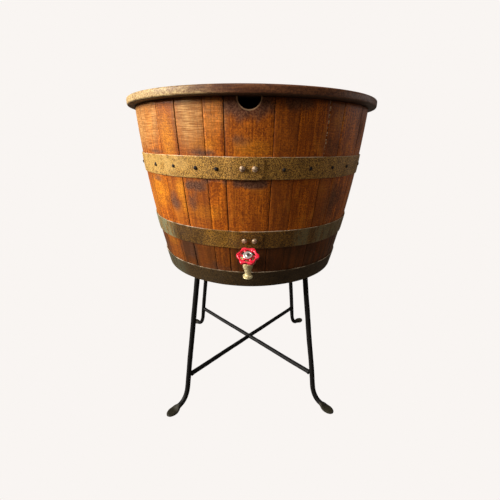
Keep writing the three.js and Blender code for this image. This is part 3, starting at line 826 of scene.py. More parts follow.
def mark_stave(mesh, centre, half_angle, wears, seed):
    """Gives the stave the attributes that its material reads."""
    tone = random.random() ** 1.6
    offset = Vector((seed * 3.7, seed * 1.3, seed * 0.77))

    def off_centre(p):
        return angle_of(Matrix.Rotation(-centre, 3, "Z") @ p)

    def grain_at(p):
        radius = math.hypot(p.x, p.y)
        return Vector((off_centre(p) * radius, wall_radius(p.z) - radius, p.z)) + offset

    def edge_at(p):
        return max(0.0, (half_angle - abs(off_centre(p))) * math.hypot(p.x, p.y))

    def side_of(p):
        return 1 if off_centre(p) > 0 else 0

    def split_at(p):
        near = centre + (half_angle if side_of(p) else -half_angle)
        return smoothstep(p.z, 0.76, 0.80) if abs(near - SPLIT_JOINT) < 0.02 else 0.0

    write_attribute(mesh, "grain", grain_at, "FLOAT_VECTOR")
    write_attribute(mesh, "joint", lambda p: wears[side_of(p)])
    write_attribute(mesh, "split", split_at)
    # the wall darker low down, and the painted shadow under the lid
    write_attribute(mesh, "grime", lambda p: low_dark_and_lid_shadow_at(angle_of(p), p.z))
    write_attribute(mesh, "edge", edge_at)
    write_attribute(mesh, "tone", lambda p: tone)
    for name, patches in (("stain", STAINS), ("glow", PAINTED_HIGHLIGHTS), ("pale", PALE_AND_SHEEN_PATCHES)):
        write_attribute(mesh, name, lambda p: patch_strength(patches, angle_of(p), p.z))


def stave_mesh(name, seed):
    start, end = span_of(name)
    centre = (start + end) / 2
    half_angle = (end - start) / 2
    wears = (joint_wear(start), joint_wear(end))
    rings = [stave_section(z, centre, half_angle, wears, seed) for z in stave_heights()]
    return mesh_of(name, loft(rings)), centre, half_angle, wears


def disc_profile(radius, low, high):
    return [(0, low), (radius, low), (radius, high), (0, high)]


def rod_mesh(radius, low, high, place):
    return placed("rod", lathe(disc_profile(radius, low, high), 96), place)


def cut_notch(mesh):
    """Cuts the half-round bung notch and rounds over the worn edge that it leaves."""
    notch = rod_mesh(NOTCH_RADIUS, 0.2, 0.4, Matrix.Translation((0, 0, RIM_Z)) @ Z_TO_FRONT)
    tap_hole = rod_mesh(SHANK_HOLE_RADIUS, -0.04, 0.02, tap_on_wall() @ Z_TO_FRONT)
    mesh = combined(mesh, [notch, tap_hole], "DIFFERENCE")
    bm = bmesh.new()
    bm.from_mesh(mesh)
    worn = []
    for edge in bm.edges:
        from_axis = [math.hypot(v.co.x, v.co.z - RIM_Z) for v in edge.verts]
        on_notch = all(abs(distance - NOTCH_RADIUS) < 2e-4 for distance in from_axis)
        below_rim = all(v.co.z < RIM_Z - 0.001 for v in edge.verts)
        if on_notch and below_rim and edge.is_manifold and edge.calc_face_angle(0) > 0.7:
            worn.append(edge)
    bmesh.ops.bevel(bm, geom=worn, offset=NOTCH_ROUNDING, segments=3, affect="EDGES", profile=0.5)
    bm.to_mesh(mesh)
    bm.free()
    return mesh


def build_staves():
    names = ["bung_stave"] + sorted(n for n in frame["nodes"] if n.startswith("stave_"))
    for index, name in enumerate(names):
        seed = index * 1.37 + 0.5
        mesh, centre, half_angle, wears = stave_mesh(name, seed)
        if name == "bung_stave":
            mesh = cut_notch(mesh)
        mark_stave(mesh, centre, half_angle, wears, seed)
        piece("oak_" + name, mesh, OAK, "tub", [name], 50)


# ---------------------------------------------------------------- hoops, rivets and nails


def hoop_angles(start, end):
    """Angles along the strip, closer together at its rounded ends."""
    plain = [start + (end - start) * i / 260 for i in range(261)]
    turn = HOOP_END_RADIUS / 0.3  # the tub's radius, near enough
    for i in range(1, 9):
        near = turn * (1 - math.cos(math.pi / 2 * i / 9))
        plain += [start + near, end - near]
    return sorted(plain)


def hoop_section(angle, start, end, low, high, seed):
    """The strip's closed outline at one angle, in the tub's frame."""
    radius = wall_radius((low + high) / 2)
    to_end = min(angle - start, end - angle) * radius
    inset = 0.0
    if to_end < HOOP_END_RADIUS:
        across = HOOP_END_RADIUS - to_end
        inset = HOOP_END_RADIUS - math.sqrt(max(0, HOOP_END_RADIUS**2 - across**2))
    low += inset + HOOP_WAVE * wander(angle * 5, seed, 0.3)
    high += -inset + HOOP_WAVE * wander(angle * 5, seed, 7.9)
    lap_start = end - 2 * LAP_HALF_ANGLE
    lift = (HOOP_THICKNESS + LAP_GAP) * smoothstep(angle, lap_start - LAP_RAMP_ANGLE, lap_start)
    shares = [0, 0.035, 0.25, 0.5, 0.75, 0.965, 1]
    face = [low + HOOP_EDGE + (high - low - 2 * HOOP_EDGE) * share for share in shares]
    outline = [(z, HOOP_THICKNESS) for z in face]
    outline.append((high - HOOP_EDGE * 0.3, HOOP_THICKNESS - HOOP_EDGE * 0.3))
    outline.append((high, HOOP_THICKNESS - HOOP_EDGE))
    outline.append((high, HOOP_EDGE * 0.4))
    outline += [(z, 0) for z in face[::-1]]
    outline.append((low, HOOP_EDGE * 0.4))
    outline.append((low, HOOP_THICKNESS - HOOP_EDGE))
    outline.append((low + HOOP_EDGE * 0.3, HOOP_THICKNESS - HOOP_EDGE * 0.3))
    ring = []
    for z, out in outline:
        dent = HOOP_DENT * wander(angle * 14, z * 60, seed) if out > 0 else 0
        ring.append(around(angle, wall_radius(z) + HOOP_CLEARANCE + lift + out + dent, z))
    return ring


def mark_hoop(mesh, low, high, bloom=(), shade=()):
    """Rubbed edges, and bands of painted shade and of a paler oxide's bloom where the hoop has them."""

    def rub_at(p):
        upper = 1 - smoothstep(abs(high - p.z), 0.0002, 0.0012)
        lower = 1 - smoothstep(abs(p.z - low), 0.0002, 0.0010)
        return max(upper, 0.3 * lower)

    write_attribute(mesh, "rub", rub_at)
    for name, bands in (("bloom", bloom), ("shade", shade)):
        write_attribute(mesh, name, lambda p: banded(bands, math.degrees(angle_of(p))))


# Bands round each hoop: (strength, start, end, fade in, fade out), in degrees. The shade bands on the right are
# painted shade, away from the key light.
UPPER_BLOOM = [(0.75, -90, -38, 26, 26)]
UPPER_SHADE = [(0.22, 4, 200, 6, 6)]
MIDDLE_BLOOM = [(0.95, -85, -46, 65, 7), (0.5, 24, 29, 3, 3), (0.5, 37, 60, 6, 6)]
MIDDLE_SHADE = [(0.95, -40, -25, 6, 6), (0.38, -4, 90, 5, 5)]
BOTTOM_BLOOM = [(0.7, -85, -50, 65, 16)]
BOTTOM_SHADE = [(0.1, -2, 90, 8, 8)]


def build_hoop(name, lap_degrees, material, bloom, shade, seed):
    low, high = heights_of(name)
    start = math.radians(lap_degrees) - LAP_HALF_ANGLE
    end = start + 2 * math.pi + 2 * LAP_HALF_ANGLE
    rings = [hoop_section(a, start, end, low, high, seed) for a in hoop_angles(start, end)]
    mesh = mesh_of(name, loft(rings))
    mark_hoop(mesh, low, high, bloom, shade)
    piece("steel_" + name, mesh, material, "tub", [name], 32)


def domed(radius, height, sink, seed, segments=28):
    """A hammered round head whose flat lies on Z = 0, with a short shank below it."""
    shank = radius * 0.5
    profile = [(0, -sink), (shank, -sink), (shank, 0), (radius * 0.97, 0)]
    steps = 7
    for i in range(steps):
        turn = math.pi / 2 * i / steps
        profile.append((radius * math.cos(turn) ** 0.8, height * (0.12 + 0.88 * math.sin(turn))))
    profile.append((0, height))
    bm = lathe(profile, segments)
    for vertex in bm.verts:
        if vertex.co.z > 0:
            bend = wander(vertex.co.x * 260, vertex.co.y * 260, seed)
            vertex.co.z *= 1 + 0.16 * bend
            vertex.co.x *= 1 + 0.05 * bend
    return bm


def head_foot(node, angle, z):
    """How far a rivet's head starts from the wall, from the CAD rivet's reach."""
    place = wall_place(angle, z)
    reach = max((place.inverted() @ p).z for p in node_points(node))
    return reach - RIVET_HEIGHT


def build_rivets():
    for index, name in enumerate(sorted(n for n in frame["nodes"] if "_rivet_" in n)):
        low, high = heights_of(name.split("_rivet_")[0])
        z = (low + high) / 2
        angle = angle_of(centre_of(name))
        foot = head_foot(name, angle, z)
        head = domed(RIVET_RADIUS, RIVET_HEIGHT, foot - 0.0007, index * 2.3)
        mesh = placed(name, head, wall_place(angle, z, foot))
        mark_hoop(mesh, low, high)
        piece("steel_" + name, mesh, RIVET_STEEL, "tub", [name], 60)


# The nails that hold each hoop: their angles in degrees and their height as a share of the hoop's.
NAILS = {
    "upper_hoop": [
        (-81.5, 0.55), (-68.0, 0.5), (-46.0, 0.5), (-33.1, 0.5), (-21.7, 0.47), (-12.75, 0.46),
        (13.8, 0.46), (25.4, 0.49), (37.2, 0.5), (48.0, 0.5), (66.0, 0.52), (80.0, 0.6),
        (101.0, 0.5), (122.0, 0.46), (143.5, 0.53), (161.0, 0.5), (183.0, 0.48), (205.0, 0.52),
        (226.0, 0.47), (247.0, 0.5), (264.0, 0.55),
    ],
    "middle_hoop": [(80.0, 0.75), (81.0, 0.35), (150.0, 0.5), (262.0, 0.5)],
    "bottom_hoop": [(79.5, 0.78), (135.0, 0.5), (228.0, 0.5)],
}


def build_nails():
    """All the nails of a hoop are one piece; no CAD node stands for them."""
    for hoop, places in NAILS.items():
        low, high = heights_of(hoop)
        heads = bmesh.new()
        for index, (degrees, share) in enumerate(places):
            z = low + (high - low) * share
            place = wall_place(math.radians(degrees), z, HOOP_CLEARANCE + HOOP_THICKNESS)
            size = 1 + 0.15 * wander(index * 1.9, 3.3, low * 50)
            head = domed(NAIL_RADIUS * size, NAIL_HEIGHT * size, 0.002, index * 3.1, 16)
            part = placed("head", head, place)
            heads.from_mesh(part)
            bpy.data.meshes.remove(part)
        piece("iron_nails_" + hoop, mesh_of("nails", heads), NAIL_IRON, "tub", (), 60)


# ---------------------------------------------------------------- lid and bottom


def lid_disc():
    """The whole lid before it is cut into boards, with its rounded edge."""
    low, high = heights_of("lid_board_middle")
    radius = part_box("lid_board_middle")[1].x
    inner = [radius * share for share in (0.25, 0.5, 0.75, 0.9)]
    edge = []
    steps = 6
    for i in range(steps + 1):
        turn = math.pi / 2 * i / steps
        out = radius - LID_EDGE * (1 - math.sin(turn))
        edge.append((out, low + LID_EDGE * (1 - math.cos(turn))))
    edge += [(r, low + high - z) for r, z in edge[::-1]]
    bottom = [(0, low)] + [(r, low) for r in inner]
    top = [(r, high) for r in inner[::-1]] + [(0, high)]
    return lathe(bottom + edge + top, LID_SEGMENTS)


def sliced(bm, y, keep_beyond):
    """Cuts the solid with a plane across Y and closes the cut."""
    geometry = bm.verts[:] + bm.edges[:] + bm.faces[:]
    normal = (0, -1, 0) if keep_beyond else (0, 1, 0)
    cut = bmesh.ops.bisect_plane(bm, geom=geometry, plane_co=(0, y, 0), plane_no=normal, clear_outer=True)
    edges = [e for e in cut["geom_cut"] if isinstance(e, bmesh.types.BMEdge)]
    bmesh.ops.contextual_create(bm, geom=edges)


def build_lid():
    names = ["lid_board_front", "lid_board_middle", "lid_board_back"]
    for index, name in enumerate(names):
        low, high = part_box(name)
        bm = lid_disc()
        if index > 0:
            sliced(bm, low.y, True)
        if index < len(names) - 1:
            sliced(bm, high.y, False)
        mesh = bevelled(mesh_of(name, bm), BOARD_EDGE, 2, 50)
        piece("oak_" + name, mesh, LID_OAK, "lid", [name], 40)
    for name in ("lid_batten_left", "lid_batten_right"):
        low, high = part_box(name)
        block = cube_of(name, high - low, Matrix.Translation(centre_of(name)))
        mesh = bevelled(block, BATTEN_EDGE, 3)
        piece("oak_" + name, mesh, LID_OAK, "lid", [name])


def dress(node, material):
    """Gives a CAD node that stays its material."""
    mesh = frame["nodes"][node].data
    mesh.materials.clear()
    mesh.materials.append(material)


def dress_bottom():
    for place in ("front", "middle", "back"):
        dress("bottom_board_" + place, BOTTOM_OAK)


# ---------------------------------------------------------------- stand


def leg_direction(leg):
    """The horizontal way out along a leg, from the mount under its foot."""
    mounts = {m["name"]: Vector(m["pos_m"]) for m in frame["record"]["mounts"]}
    foot = mounts["floor_" + leg.replace("_leg", "")]
    return foot.normalized(), foot.length


def leg_shaft(top_radius, top_z):
    """Centre-line points (out, z, half width, half height, squareness) down to the toe."""
    knee_radius = top_radius + LEG_SPLAY * (top_z - KNEE_Z)
    corner_radius = top_radius + LEG_SPLAY * (top_z - TOE_CORNER_Z)
    centres = []
    straight_steps = 40
    for i in range(straight_steps):
        t = i / straight_steps
        centres.append((top_radius + t * (knee_radius - top_radius), top_z + t * (KNEE_Z - top_z)))
    knee = Vector((knee_radius, KNEE_Z))
    corner = Vector((corner_radius, TOE_CORNER_Z))
    bend_steps = 16
    centres += [curved(knee, corner, Vector(TOE), i / bend_steps) for i in range(bend_steps)]
    return [(out, z, BAR_RADIUS, BAR_RADIUS, 2) for out, z in centres]


def leg_pad(pad_start, foot_radius):
    """The rest of those points, where the bar is hammered out into an oval pad."""
    path = []
    steps = 22
    pad_end = foot_radius + PAD_HALF_LENGTH
    for i in range(1, steps + 1):
        share = math.sin(math.pi / 2 * i / steps)
        out = pad_start + (pad_end - pad_start) * share
        along = min(1, abs(out - foot_radius) / PAD_HALF_LENGTH)
        flat = smoothstep(out, pad_start, foot_radius - 0.002)
        width = PAD_HALF_WIDTH * math.sqrt(max(0, 1 - along * along))
        if out < foot_radius:
            width = max(width, BAR_RADIUS * (1 - 0.3 * flat))
        rim = 1 - 0.55 * smoothstep(along, 0.8, 1) if out > foot_radius else 1
        height = (BAR_RADIUS + (PAD_HEIGHT / 2 - BAR_RADIUS) * flat) * rim
        z = TOE[1] + (PAD_HEIGHT / 2 - TOE[1]) * flat
        path.append((out, z, max(width, 0.0006), height, 2 + 0.7 * flat))
    return path


def leg_path(leg, out_dir, foot_radius):
    """All the points down one leg, from the middle of its top to the end of its pad."""
    top_z = heights_of(leg)[1]
    top_ring = [p for p in node_points(leg) if p.z > top_z - 0.001]
    top_radius = sum((p.dot(out_dir) for p in top_ring)) / len(top_ring)
    shaft = leg_shaft(top_radius, top_z)
    return shaft + leg_pad(shaft[-1][0], foot_radius)


def bar_section(turn, squareness):
    """A point of a unit superellipse: 2 is round, more is squarer."""
    c, s = math.cos(turn), math.sin(turn)
    power = 2 / squareness
    return math.copysign(abs(c) ** power, c), math.copysign(abs(s) ** power, s)


def build_leg(leg, seed):
    out_dir, foot_radius = leg_direction(leg)
    path = leg_path(leg, out_dir, foot_radius)
    side_dir = Vector((-out_dir.y, out_dir.x, 0))
    up = Vector((0, 0, 1))
    rings = []
    for i, (out, z, half_width, half_height, squareness) in enumerate(path):
        before = path[max(0, i - 1)]
        after = path[min(len(path) - 1, i + 1)]
        along = (out_dir * (after[0] - before[0]) + up * (after[1] - before[1])).normalized()
        if z < TOE[1] + 0.0002:
            along = out_dir
        normal = along.cross(side_dir)
        free = smoothstep(z, 0.02, 0.06) * smoothstep(path[0][1] - z, 0, 0.03)
        sway_out = BAR_SWAY * free * wander(z * 9, seed, 1.5)
        sway_side = BAR_SWAY * free * wander(z * 9, seed, 8.5)
        centre = out_dir * (out + sway_out) + up * z + side_dir * sway_side
        swell = 1 + 0.05 * wander(z * 45, out * 45, seed)
        ring = []
        for k in range(BAR_SIDES):
            across, high = bar_section(2 * math.pi * k / BAR_SIDES, squareness)
            point = centre + side_dir * across * half_width * swell + normal * high * half_height * swell
            point.z = max(point.z, 0.0)
            ring.append(point)
        rings.append(ring)
    mesh = mesh_of(leg, loft(rings))
    piece("iron_" + leg, mesh, STAND_IRON, "stand", [leg], 60)
    mesh.materials.append(FOOT_IRON)
    for polygon in mesh.polygons:
        if polygon.center.z < FOOT_TOP_Z and polygon.center.dot(out_dir) > TOE[0] - 0.006:
            polygon.material_index = 1


def build_stretcher(name, cut_side, seed):
    """A round bar between opposite legs, halved where it crosses the other one."""
    middle_z = centre_of(name).z
    end = max(node_points(name), key=lambda p: math.hypot(p.x, p.y))
    flat_end = Vector((end.x, end.y, 0))
    reach = flat_end.length
    options = [leg_direction(leg)[0] for leg in ("front_left_leg", "front_right_leg")]
    along = max(options, key=lambda d: abs(d.dot(flat_end)))
    side = Vector((-along.y, along.x, 0))
    steps = 70
    rings = []
    for i in range(steps + 1):
        s = -reach + 2 * reach * i / steps
        weld = 1 + 0.16 * smoothstep(abs(s), reach - 0.006, reach)
        swell = weld * (1 + 0.045 * wander(s * 40, seed, 2.2))
        free = smoothstep(abs(s), 0.02, 0.05) * smoothstep(reach - abs(s), 0, 0.04)
        drift = 0.0012 * free * wander(s * 8, seed, 5.2)
        ring = []
        for k in range(BAR_SIDES):
            turn = 2 * math.pi * k / BAR_SIDES
            offset = side * math.cos(turn) * STRETCHER_RADIUS * swell
            z = math.sin(turn) * STRETCHER_RADIUS * swell
            if abs(s) < STRETCHER_RADIUS + 0.0006:
                z = min(z, -0.0002) if cut_side > 0 else max(z, 0.0002)
            ring.append(along * s + side * drift + offset + Vector((0, 0, middle_z + z)))
        rings.append(ring)
    mesh = mesh_of(name, loft(rings))
    piece("iron_" + name, mesh, STAND_IRON, "stand", [name], 50)


def build_ring():
    low, high = heights_of("stand_ring")
    radii = [math.hypot(p.x, p.y) for p in node_points("stand_ring")]
    inner, outer = min(radii), max(radii)
    corners = [(inner, low), (outer, low), (outer, high), (inner, high)]
    bm = lathe(rounded_profile(corners, 0.0015), 128)
    piece("iron_stand_ring", mesh_of("stand_ring", bm), STAND_IRON, "stand", ["stand_ring"])


def build_stand():
    for index, leg in enumerate(sorted(n for n in frame["nodes"] if n.endswith("_leg"))):
        build_leg(leg, index * 4.1)
    build_stretcher("lower_stretcher", 1, 1.1)
    build_stretcher("upper_stretcher", -1, 6.1)
    build_ring()


# ---------------------------------------------------------------- tap

TAP_REACH = 0.0305  # from the wall to the valve's centre
GASKET_RADIUS = 0.021
GASKET_MIDDLE = 0.0019
FLANGE_RADIUS = 0.019
HEX_RADIUS = 0.0165
SHANK_RADIUS = 0.013
SHANK_HOLE_RADIUS = 0.0133
SHANK_BORE_RADIUS = 0.0065
LOCKNUT_RADIUS = 0.021
BONNET_RADIUS = 0.0108
BONNET_HEIGHT = 0.0085
BONNET_NECK_RADIUS = 0.0064
VALVE_RADIUS = 0.0116
VALVE_TOP = 0.013
VALVE_BORE_RADIUS = 0.0085
SPOUT_DROP = 0.0302
SPOUT_BORE_RADIUS = 0.0046
WHEEL_TURN = math.radians(-4)
WHEEL_Z = 0.033
WHEEL_THICKNESS = 0.0066
WHEEL_RADIUS = 0.0241
WHEEL_LOBES = 6
LOBE_HEIGHT = 0.0022
WINDOW_INNER = 0.0112
WINDOW_OUTER = 0.0176
SPOKE_WIDTH = 0.0044
STEM_RADIUS = 0.004
SCREW_HOLE_RADIUS = 0.0023
SCREW_SLOT = (0.01, 0.0009, 0.0024)


def shank_axis():
    return (centre_of("tap_gasket") - centre_of("tap_locknut")).normalized()


def tap_on_wall():
    """The tap's frame: its origin is on the wall and -Y points out along the shank."""
    out = shank_axis()
    origin = centre_of("tap_gasket") - out * GASKET_MIDDLE
    side = Vector((1, 0, 0))
    back = -out
    return Matrix.Translation(origin) @ Matrix((side, back, side.cross(back))).transposed().to_4x4()


def stem_place():
    """The stem's frame: its origin is the valve's centre and +Z points up the stem."""
    joint = next(j for j in frame["joints"] if j["name"] == "handle_turn")
    up = Vector(joint["axis"]).normalized()
    side = Vector((1, 0, 0))
    origin = tap_on_wall() @ Vector((0, -TAP_REACH, 0))
    return Matrix.Translation(origin) @ Matrix((side, up.cross(side), up)).transposed().to_4x4()


SEAM_STEP = 0.0137  # how far each turned solid is turned beyond the one before, in radians
seam_numbers = itertools.count(1)


def shaped(profile, place, rounding=0.0, segments=64):
    """A turned solid put in its place. Round ones are turned so that no two seams line up."""
    if rounding:
        profile = rounded_profile(profile, rounding)
    if segments > 6:
        place = place @ Matrix.Rotation(SEAM_STEP * next(seam_numbers), 4, "Z")
    return placed("shape", lathe(profile, segments), place)


def spout_profile():
    """The spout from its end up: a grooved collar, a narrow waist and a bell into the valve."""
    collar, groove, waist = 0.0115, 0.0105, 0.0064
    collar_top = -0.0244
    groove_z = (collar_top - SPOUT_DROP) / 2
    return [
        (0, -SPOUT_DROP),
        (collar, -SPOUT_DROP),
        (collar, groove_z - 0.0008),
        (groove, groove_z - 0.0004),
        (groove, groove_z + 0.0004),
        (collar, groove_z + 0.0008),
        (collar, collar_top),
        (waist + 0.0006, collar_top),
        (waist, collar_top + 0.0025),
        (waist + 0.0003, -0.0185),
        (waist + 0.0012, -0.0140),
        (waist + 0.0028, -0.0085),
        (VALVE_RADIUS - 0.0008, -0.003),
        (VALVE_RADIUS - 0.0003, 0),
        (0, 0.002),
    ]


def sphere_profile(radius, steps=16):
    turns = [math.pi * i / steps - math.pi / 2 for i in range(1, steps)]
    points = [(radius * math.cos(t), radius * math.sin(t)) for t in turns]
    return [(0, -radius)] + points + [(0, radius)]


def brass(name, mesh, body="tub", sharp_degrees=30):
    piece("brass_" + name, mesh, BRASS, body, [name], sharp_degrees)


def build_tap_body():
    stem = stem_place()
    valve = Matrix.Translation(stem.translation)
    out = tap_on_wall() @ Z_TO_FRONT
    flange_back = 0.0035
    flange_front = flange_back + 0.004
    hex_front = flange_front + 0.007
    shank = shaped(disc_profile(SHANK_RADIUS, -0.04, flange_front - 0.002), out, 0.001)
    parts = [
        shaped(disc_profile(FLANGE_RADIUS, flange_back, flange_front), out, 0.0009),
        shaped(disc_profile(HEX_RADIUS, flange_front - 0.0002, hex_front), out, 0, 6),
        shaped(disc_profile(VALVE_RADIUS - 0.0015, hex_front - 0.001, TAP_REACH), out),
        shaped(disc_profile(VALVE_RADIUS, -0.005, VALVE_TOP), stem, 0.0008),
        shaped(sphere_profile(VALVE_RADIUS + 0.0001), valve),
        shaped(spout_profile(), valve, 0.0007),
    ]
    bores = [
        shaped(disc_profile(VALVE_BORE_RADIUS, -0.004, VALVE_TOP + 0.001), stem),
        shaped(disc_profile(SHANK_BORE_RADIUS, -0.041, TAP_REACH), out),
        shaped(disc_profile(SPOUT_BORE_RADIUS, -SPOUT_DROP - 0.001, 0), valve),
    ]
    mesh = combined(combined(shank, parts, "UNION"), bores, "DIFFERENCE")
    brass("tap_body", bevelled(mesh, 0.0004, 2, 30))


def build_tap_rings():
    out = tap_on_wall() @ Z_TO_FRONT
    back, front = 0.0006, 0.0032
    inner, outer = SHANK_HOLE_RADIUS, GASKET_RADIUS
    profile = [(inner, back), (outer, back), (outer, front), (inner, front)]
    gasket = shaped(profile, out, 0.0006)
    piece("rubber_tap_gasket", gasket, RUBBER, "tub", ["tap_gasket"])
    nut = shaped(disc_profile(LOCKNUT_RADIUS, -0.0344, -0.0264), out, 0, 6)
    hole = shaped(disc_profile(SHANK_HOLE_RADIUS, -0.04, -0.02), out)
    brass("tap_locknut", bevelled(combined(nut, [hole], "DIFFERENCE"), 0.0009))
    dress("tap_seat_washer", RUBBER)


def build_bonnet():
    stem = stem_place()
    low = VALVE_TOP + 0.0003
    top = low + BONNET_HEIGHT
    hexagon = shaped(disc_profile(BONNET_RADIUS, low, top), stem, 0, 6)
    neck = shaped(disc_profile(BONNET_NECK_RADIUS, top - 0.001, top + 0.003), stem, 0.0008)
    hole = shaped(disc_profile(STEM_RADIUS + 0.0003, low - 0.001, low + 0.02), stem)
    mesh = combined(combined(hexagon, [neck], "UNION"), [hole], "DIFFERENCE")
    brass("tap_bonnet_nut", bevelled(mesh, 0.0005, 2, 30))


def build_stem():
    stem = stem_place()
    top = WHEEL_Z + WHEEL_THICKNESS / 2 - 0.0004
    boss, collar = 0.0055, 0.0079
    hole_bottom = top - 0.0079
    profile = [
        (0, -0.0005),
        (boss, -0.0005),
        (boss, 0.003),
        (collar, 0.003),
        (collar, 0.0076),
        (STEM_RADIUS, 0.0081),
        (STEM_RADIUS, top),
        (SCREW_HOLE_RADIUS, top),
        (SCREW_HOLE_RADIUS, hole_bottom),
        (0, hole_bottom),
    ]
    brass("tap_stem", shaped(profile, stem, 0.0004), "tap_handle", 35)


def softened(points, rounds=2):
    """A closed outline with its corners cut again and again until it is round."""
    for _ in range(rounds):
        cut = []
        for here, after in zip(points, points[1:] + points[:1]):
            cut += [here.lerp(after, 0.25), here.lerp(after, 0.75)]
        points = cut
    return points


def window_outline(index):
    """The opening between two spokes of the wheel."""
    pitch = 2 * math.pi / WHEEL_LOBES
    points = []
    for radius, order in ((WINDOW_OUTER, 1), (WINDOW_INNER, -1)):
        spoke = math.asin(SPOKE_WIDTH / 2 / radius)
        start, end = index * pitch + spoke, (index + 1) * pitch - spoke
        arc = [on_circle(radius, start + (end - start) * i / 5) for i in range(6)]
        points += arc[::order]
    return softened(points)


def wheel_outline():
    angles = [2 * math.pi * i / 144 for i in range(144)]
    return [on_circle(WHEEL_RADIUS + LOBE_HEIGHT * math.cos(WHEEL_LOBES * a), a) for a in angles]


def circle_outline(radius, steps=40):
    return [on_circle(radius, 2 * math.pi * i / steps) for i in range(steps)]


def filled_wheel():
    """The flat wheel with its openings, filled and given rounded edges by a curve."""
    bevel = 0.0016
    curve = bpy.data.curves.new("wheel", "CURVE")
    curve.dimensions = "2D"
    curve.fill_mode = "BOTH"
    curve.extrude = WHEEL_THICKNESS / 2 - bevel
    curve.bevel_depth = bevel
    curve.bevel_resolution = 3
    curve.offset = -bevel
    outlines = [wheel_outline(), circle_outline(STEM_RADIUS + 0.0003)]
    outlines += [window_outline(i) for i in range(WHEEL_LOBES)]
    for outline in outlines:
        spline = curve.splines.new("POLY")
        spline.points.add(len(outline) - 1)
        for point, place in zip(spline.points, outline):
            point.co = (place.x, place.y, 0, 1)
        spline.use_cyclic_u = True
    return with_modifiers(curve)


def build_wheel():
    """The cast handwheel: a lobed rim, six spokes that are thinner than it, and a hub."""
    bm = bmesh.new()
    bm.from_mesh(filled_wheel())
    bmesh.ops.remove_doubles(bm, verts=bm.verts, dist=1e-5)
    for vertex in bm.verts:  # between hub and rim the spokes are thinner
        radius = math.hypot(vertex.co.x, vertex.co.y)
        dish = smoothstep(radius, 0.0085, 0.0115) * (1 - smoothstep(radius, 0.0165, 0.0195))
        vertex.co.z *= 1 - 0.35 * dish
    bmesh.ops.recalc_face_normals(bm, faces=bm.faces)
    place = stem_place() @ Matrix.Translation((0, 0, WHEEL_Z)) @ Matrix.Rotation(WHEEL_TURN, 4, "Z")
    mesh = placed("wheel", bm, place)
    piece("enamel_handle_wheel", mesh, ENAMEL, "tap_handle", ["tap_handle_wheel"], 50)


def build_handle_trim():
    """The plain pressed disc and the slotted screw that hold the wheel."""
    stem = stem_place()
    low = WHEEL_Z + WHEEL_THICKNESS / 2 + 0.0003
    high = low + 0.0011
    dip = high - 0.0005  # a ring pressed into the disc's face
    disc = [(SCREW_HOLE_RADIUS, low), (0.0102, low), (0.0104, high - 0.0004), (0.0098, high), (0.0080, high)]
    disc += [(0.0076, dip), (0.0052, dip), (0.0046, high), (SCREW_HOLE_RADIUS, high)]
    disc = shaped(disc, stem)
    piece("aluminium_handle_disc", disc, ALUMINIUM, "tap_handle", ["tap_handle_disc"], 30)
    seat = high + 0.0003
    top = seat + 0.0024
    profile = [(0, seat - 0.008), (0.002, seat - 0.008), (0.002, seat), (0.0039, seat)]
    profile += [(0.0039, seat + 0.001), (0.0035, seat + 0.0018), (0.0026, top - 0.0001), (0, top)]
    screw = shaped(profile, stem, 0.0002, 48)
    slot_place = stem @ Matrix.Translation((0, 0, top)) @ Matrix.Rotation(0.6, 4, "Z")
    screw = combined(screw, [cube_of("slot", SCREW_SLOT, slot_place)], "DIFFERENCE")
    piece("steel_handle_screw", screw, SCREW_STEEL, "tap_handle", ["tap_handle_screw"], 30)


def build_tap():
    build_tap_body()
    build_tap_rings()
    build_bonnet()
    build_stem()
    build_wheel()
    build_handle_trim()


# ---------------------------------------------------------------- studio

BACKDROP = rgb(0.948, 0.913, 0.888)
LENS_LENGTH = 20.87  # in mm, with a sensor 36 mm wide
CAMERA_PLACE = (0.01368, -0.9219, 0.7976)
CAMERA_TURN = math.radians(0.85)
CAMERA_DOWN = math.radians(20.56)
CAMERA_ROLL = math.radians(0.67)


def shown_or_lit(tree, shown, lit, output):
    """One shader for what the lens sees, and a dimmer one for the light that reaches the tub."""
    path = tree.nodes.new("ShaderNodeLightPath")
    mix = tree.nodes.new("ShaderNodeMixShader")
    tree.links.new(path.outputs["Is Camera Ray"], mix.inputs[0])
    tree.links.new(lit.outputs[0], mix.inputs[1])
    tree.links.new(shown.outputs[0], mix.inputs[2])
    tree.links.new(mix.outputs[0], output.inputs["Surface"])


def build_world():
    world = bpy.data.worlds.new("studio")
    world.use_nodes = True
    tree = world.node_tree
    shown = tree.nodes["Background"]
    shown.inputs["Color"].default_value = BACKDROP
    lit = tree.nodes.new("ShaderNodeBackground")
    lit.inputs["Color"].default_value = rgb(1.0, 0.95, 0.88)
    lit.inputs["Strength"].default_value = 0.045
    shown_or_lit(tree, shown, lit, tree.nodes["World Output"])
    bpy.context.scene.world = world


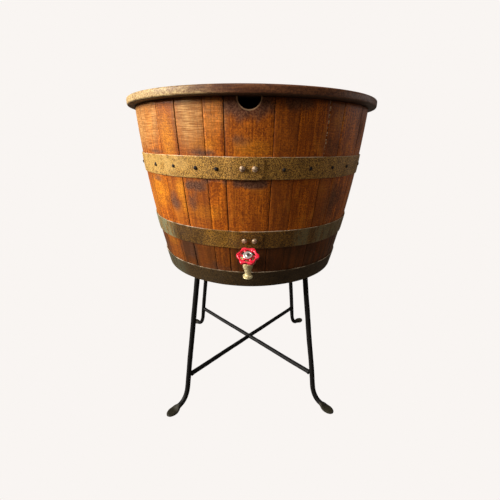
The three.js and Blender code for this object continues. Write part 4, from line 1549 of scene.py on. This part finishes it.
def build_floor():
    bm = bmesh.new()
    bmesh.ops.create_grid(bm, x_segments=1, y_segments=1, size=60)
    floor = object_of("floor", mesh_of("floor", bm))
    material = bpy.data.materials.new("pale_floor")
    material.use_nodes = True
    tree = material.node_tree
    tree.nodes.remove(tree.nodes["Principled BSDF"])
    shown = tree.nodes.new("ShaderNodeEmission")
    shown.inputs["Color"].default_value = BACKDROP
    lit = tree.nodes.new("ShaderNodeBsdfDiffuse")
    lit.inputs["Color"].default_value = rgb(0.15, 0.13, 0.11)
    shown_or_lit(tree, shown, lit, tree.nodes["Material Output"])
    floor.data.materials.append(material)


def sun(name, degrees_round, degrees_up, strength, softness, color):
    """A soft lamp that shines from an angle round the tub and a height above the horizon."""
    data = bpy.data.lights.new(name, "SUN")
    data.energy = strength
    data.angle = math.radians(softness)
    data.color = color
    lamp = object_of(name, data)
    round_angle, up_angle = math.radians(degrees_round), math.radians(degrees_up)
    source = around(round_angle, math.cos(up_angle), math.sin(up_angle))
    lamp.rotation_euler = source.to_track_quat("Z", "Y").to_euler()


def build_lights():
    sun("key", -74, 25, 6.3, 28, (1.0, 0.97, 0.92))
    sun("fill", -12, 55, 0.72, 50, (1.0, 0.96, 0.90))
    sun("edge", 108, 5, 0.42, 40, (1.0, 0.97, 0.92))


def build_camera():
    data = bpy.data.cameras.new("camera")
    data.sensor_width = 36
    data.lens = LENS_LENGTH
    camera = object_of("camera", data)
    turn = Matrix.Rotation(CAMERA_TURN, 4, "Z")
    tilt = Matrix.Rotation(math.radians(90) - CAMERA_DOWN, 4, "X")
    roll = Matrix.Rotation(CAMERA_ROLL, 4, "Z")
    place = Matrix.Translation(CAMERA_PLACE)
    camera.matrix_world = place @ turn @ tilt @ roll
    bpy.context.scene.camera = camera


build_camera()
build_world()
build_floor()
build_lights()
build_staves()
build_hoop("upper_hoop", 0, UPPER_STEEL, UPPER_BLOOM, UPPER_SHADE, 1.0)
build_hoop("middle_hoop", 0.6, MIDDLE_STEEL, MIDDLE_BLOOM, MIDDLE_SHADE, 2.0)
build_hoop("bottom_hoop", 180, BOTTOM_STEEL, BOTTOM_BLOOM, BOTTOM_SHADE, 3.0)
build_rivets()
build_nails()
build_lid()
dress_bottom()
build_stand()
build_tap()
bpy.context.scene.view_settings.view_transform = "Standard"
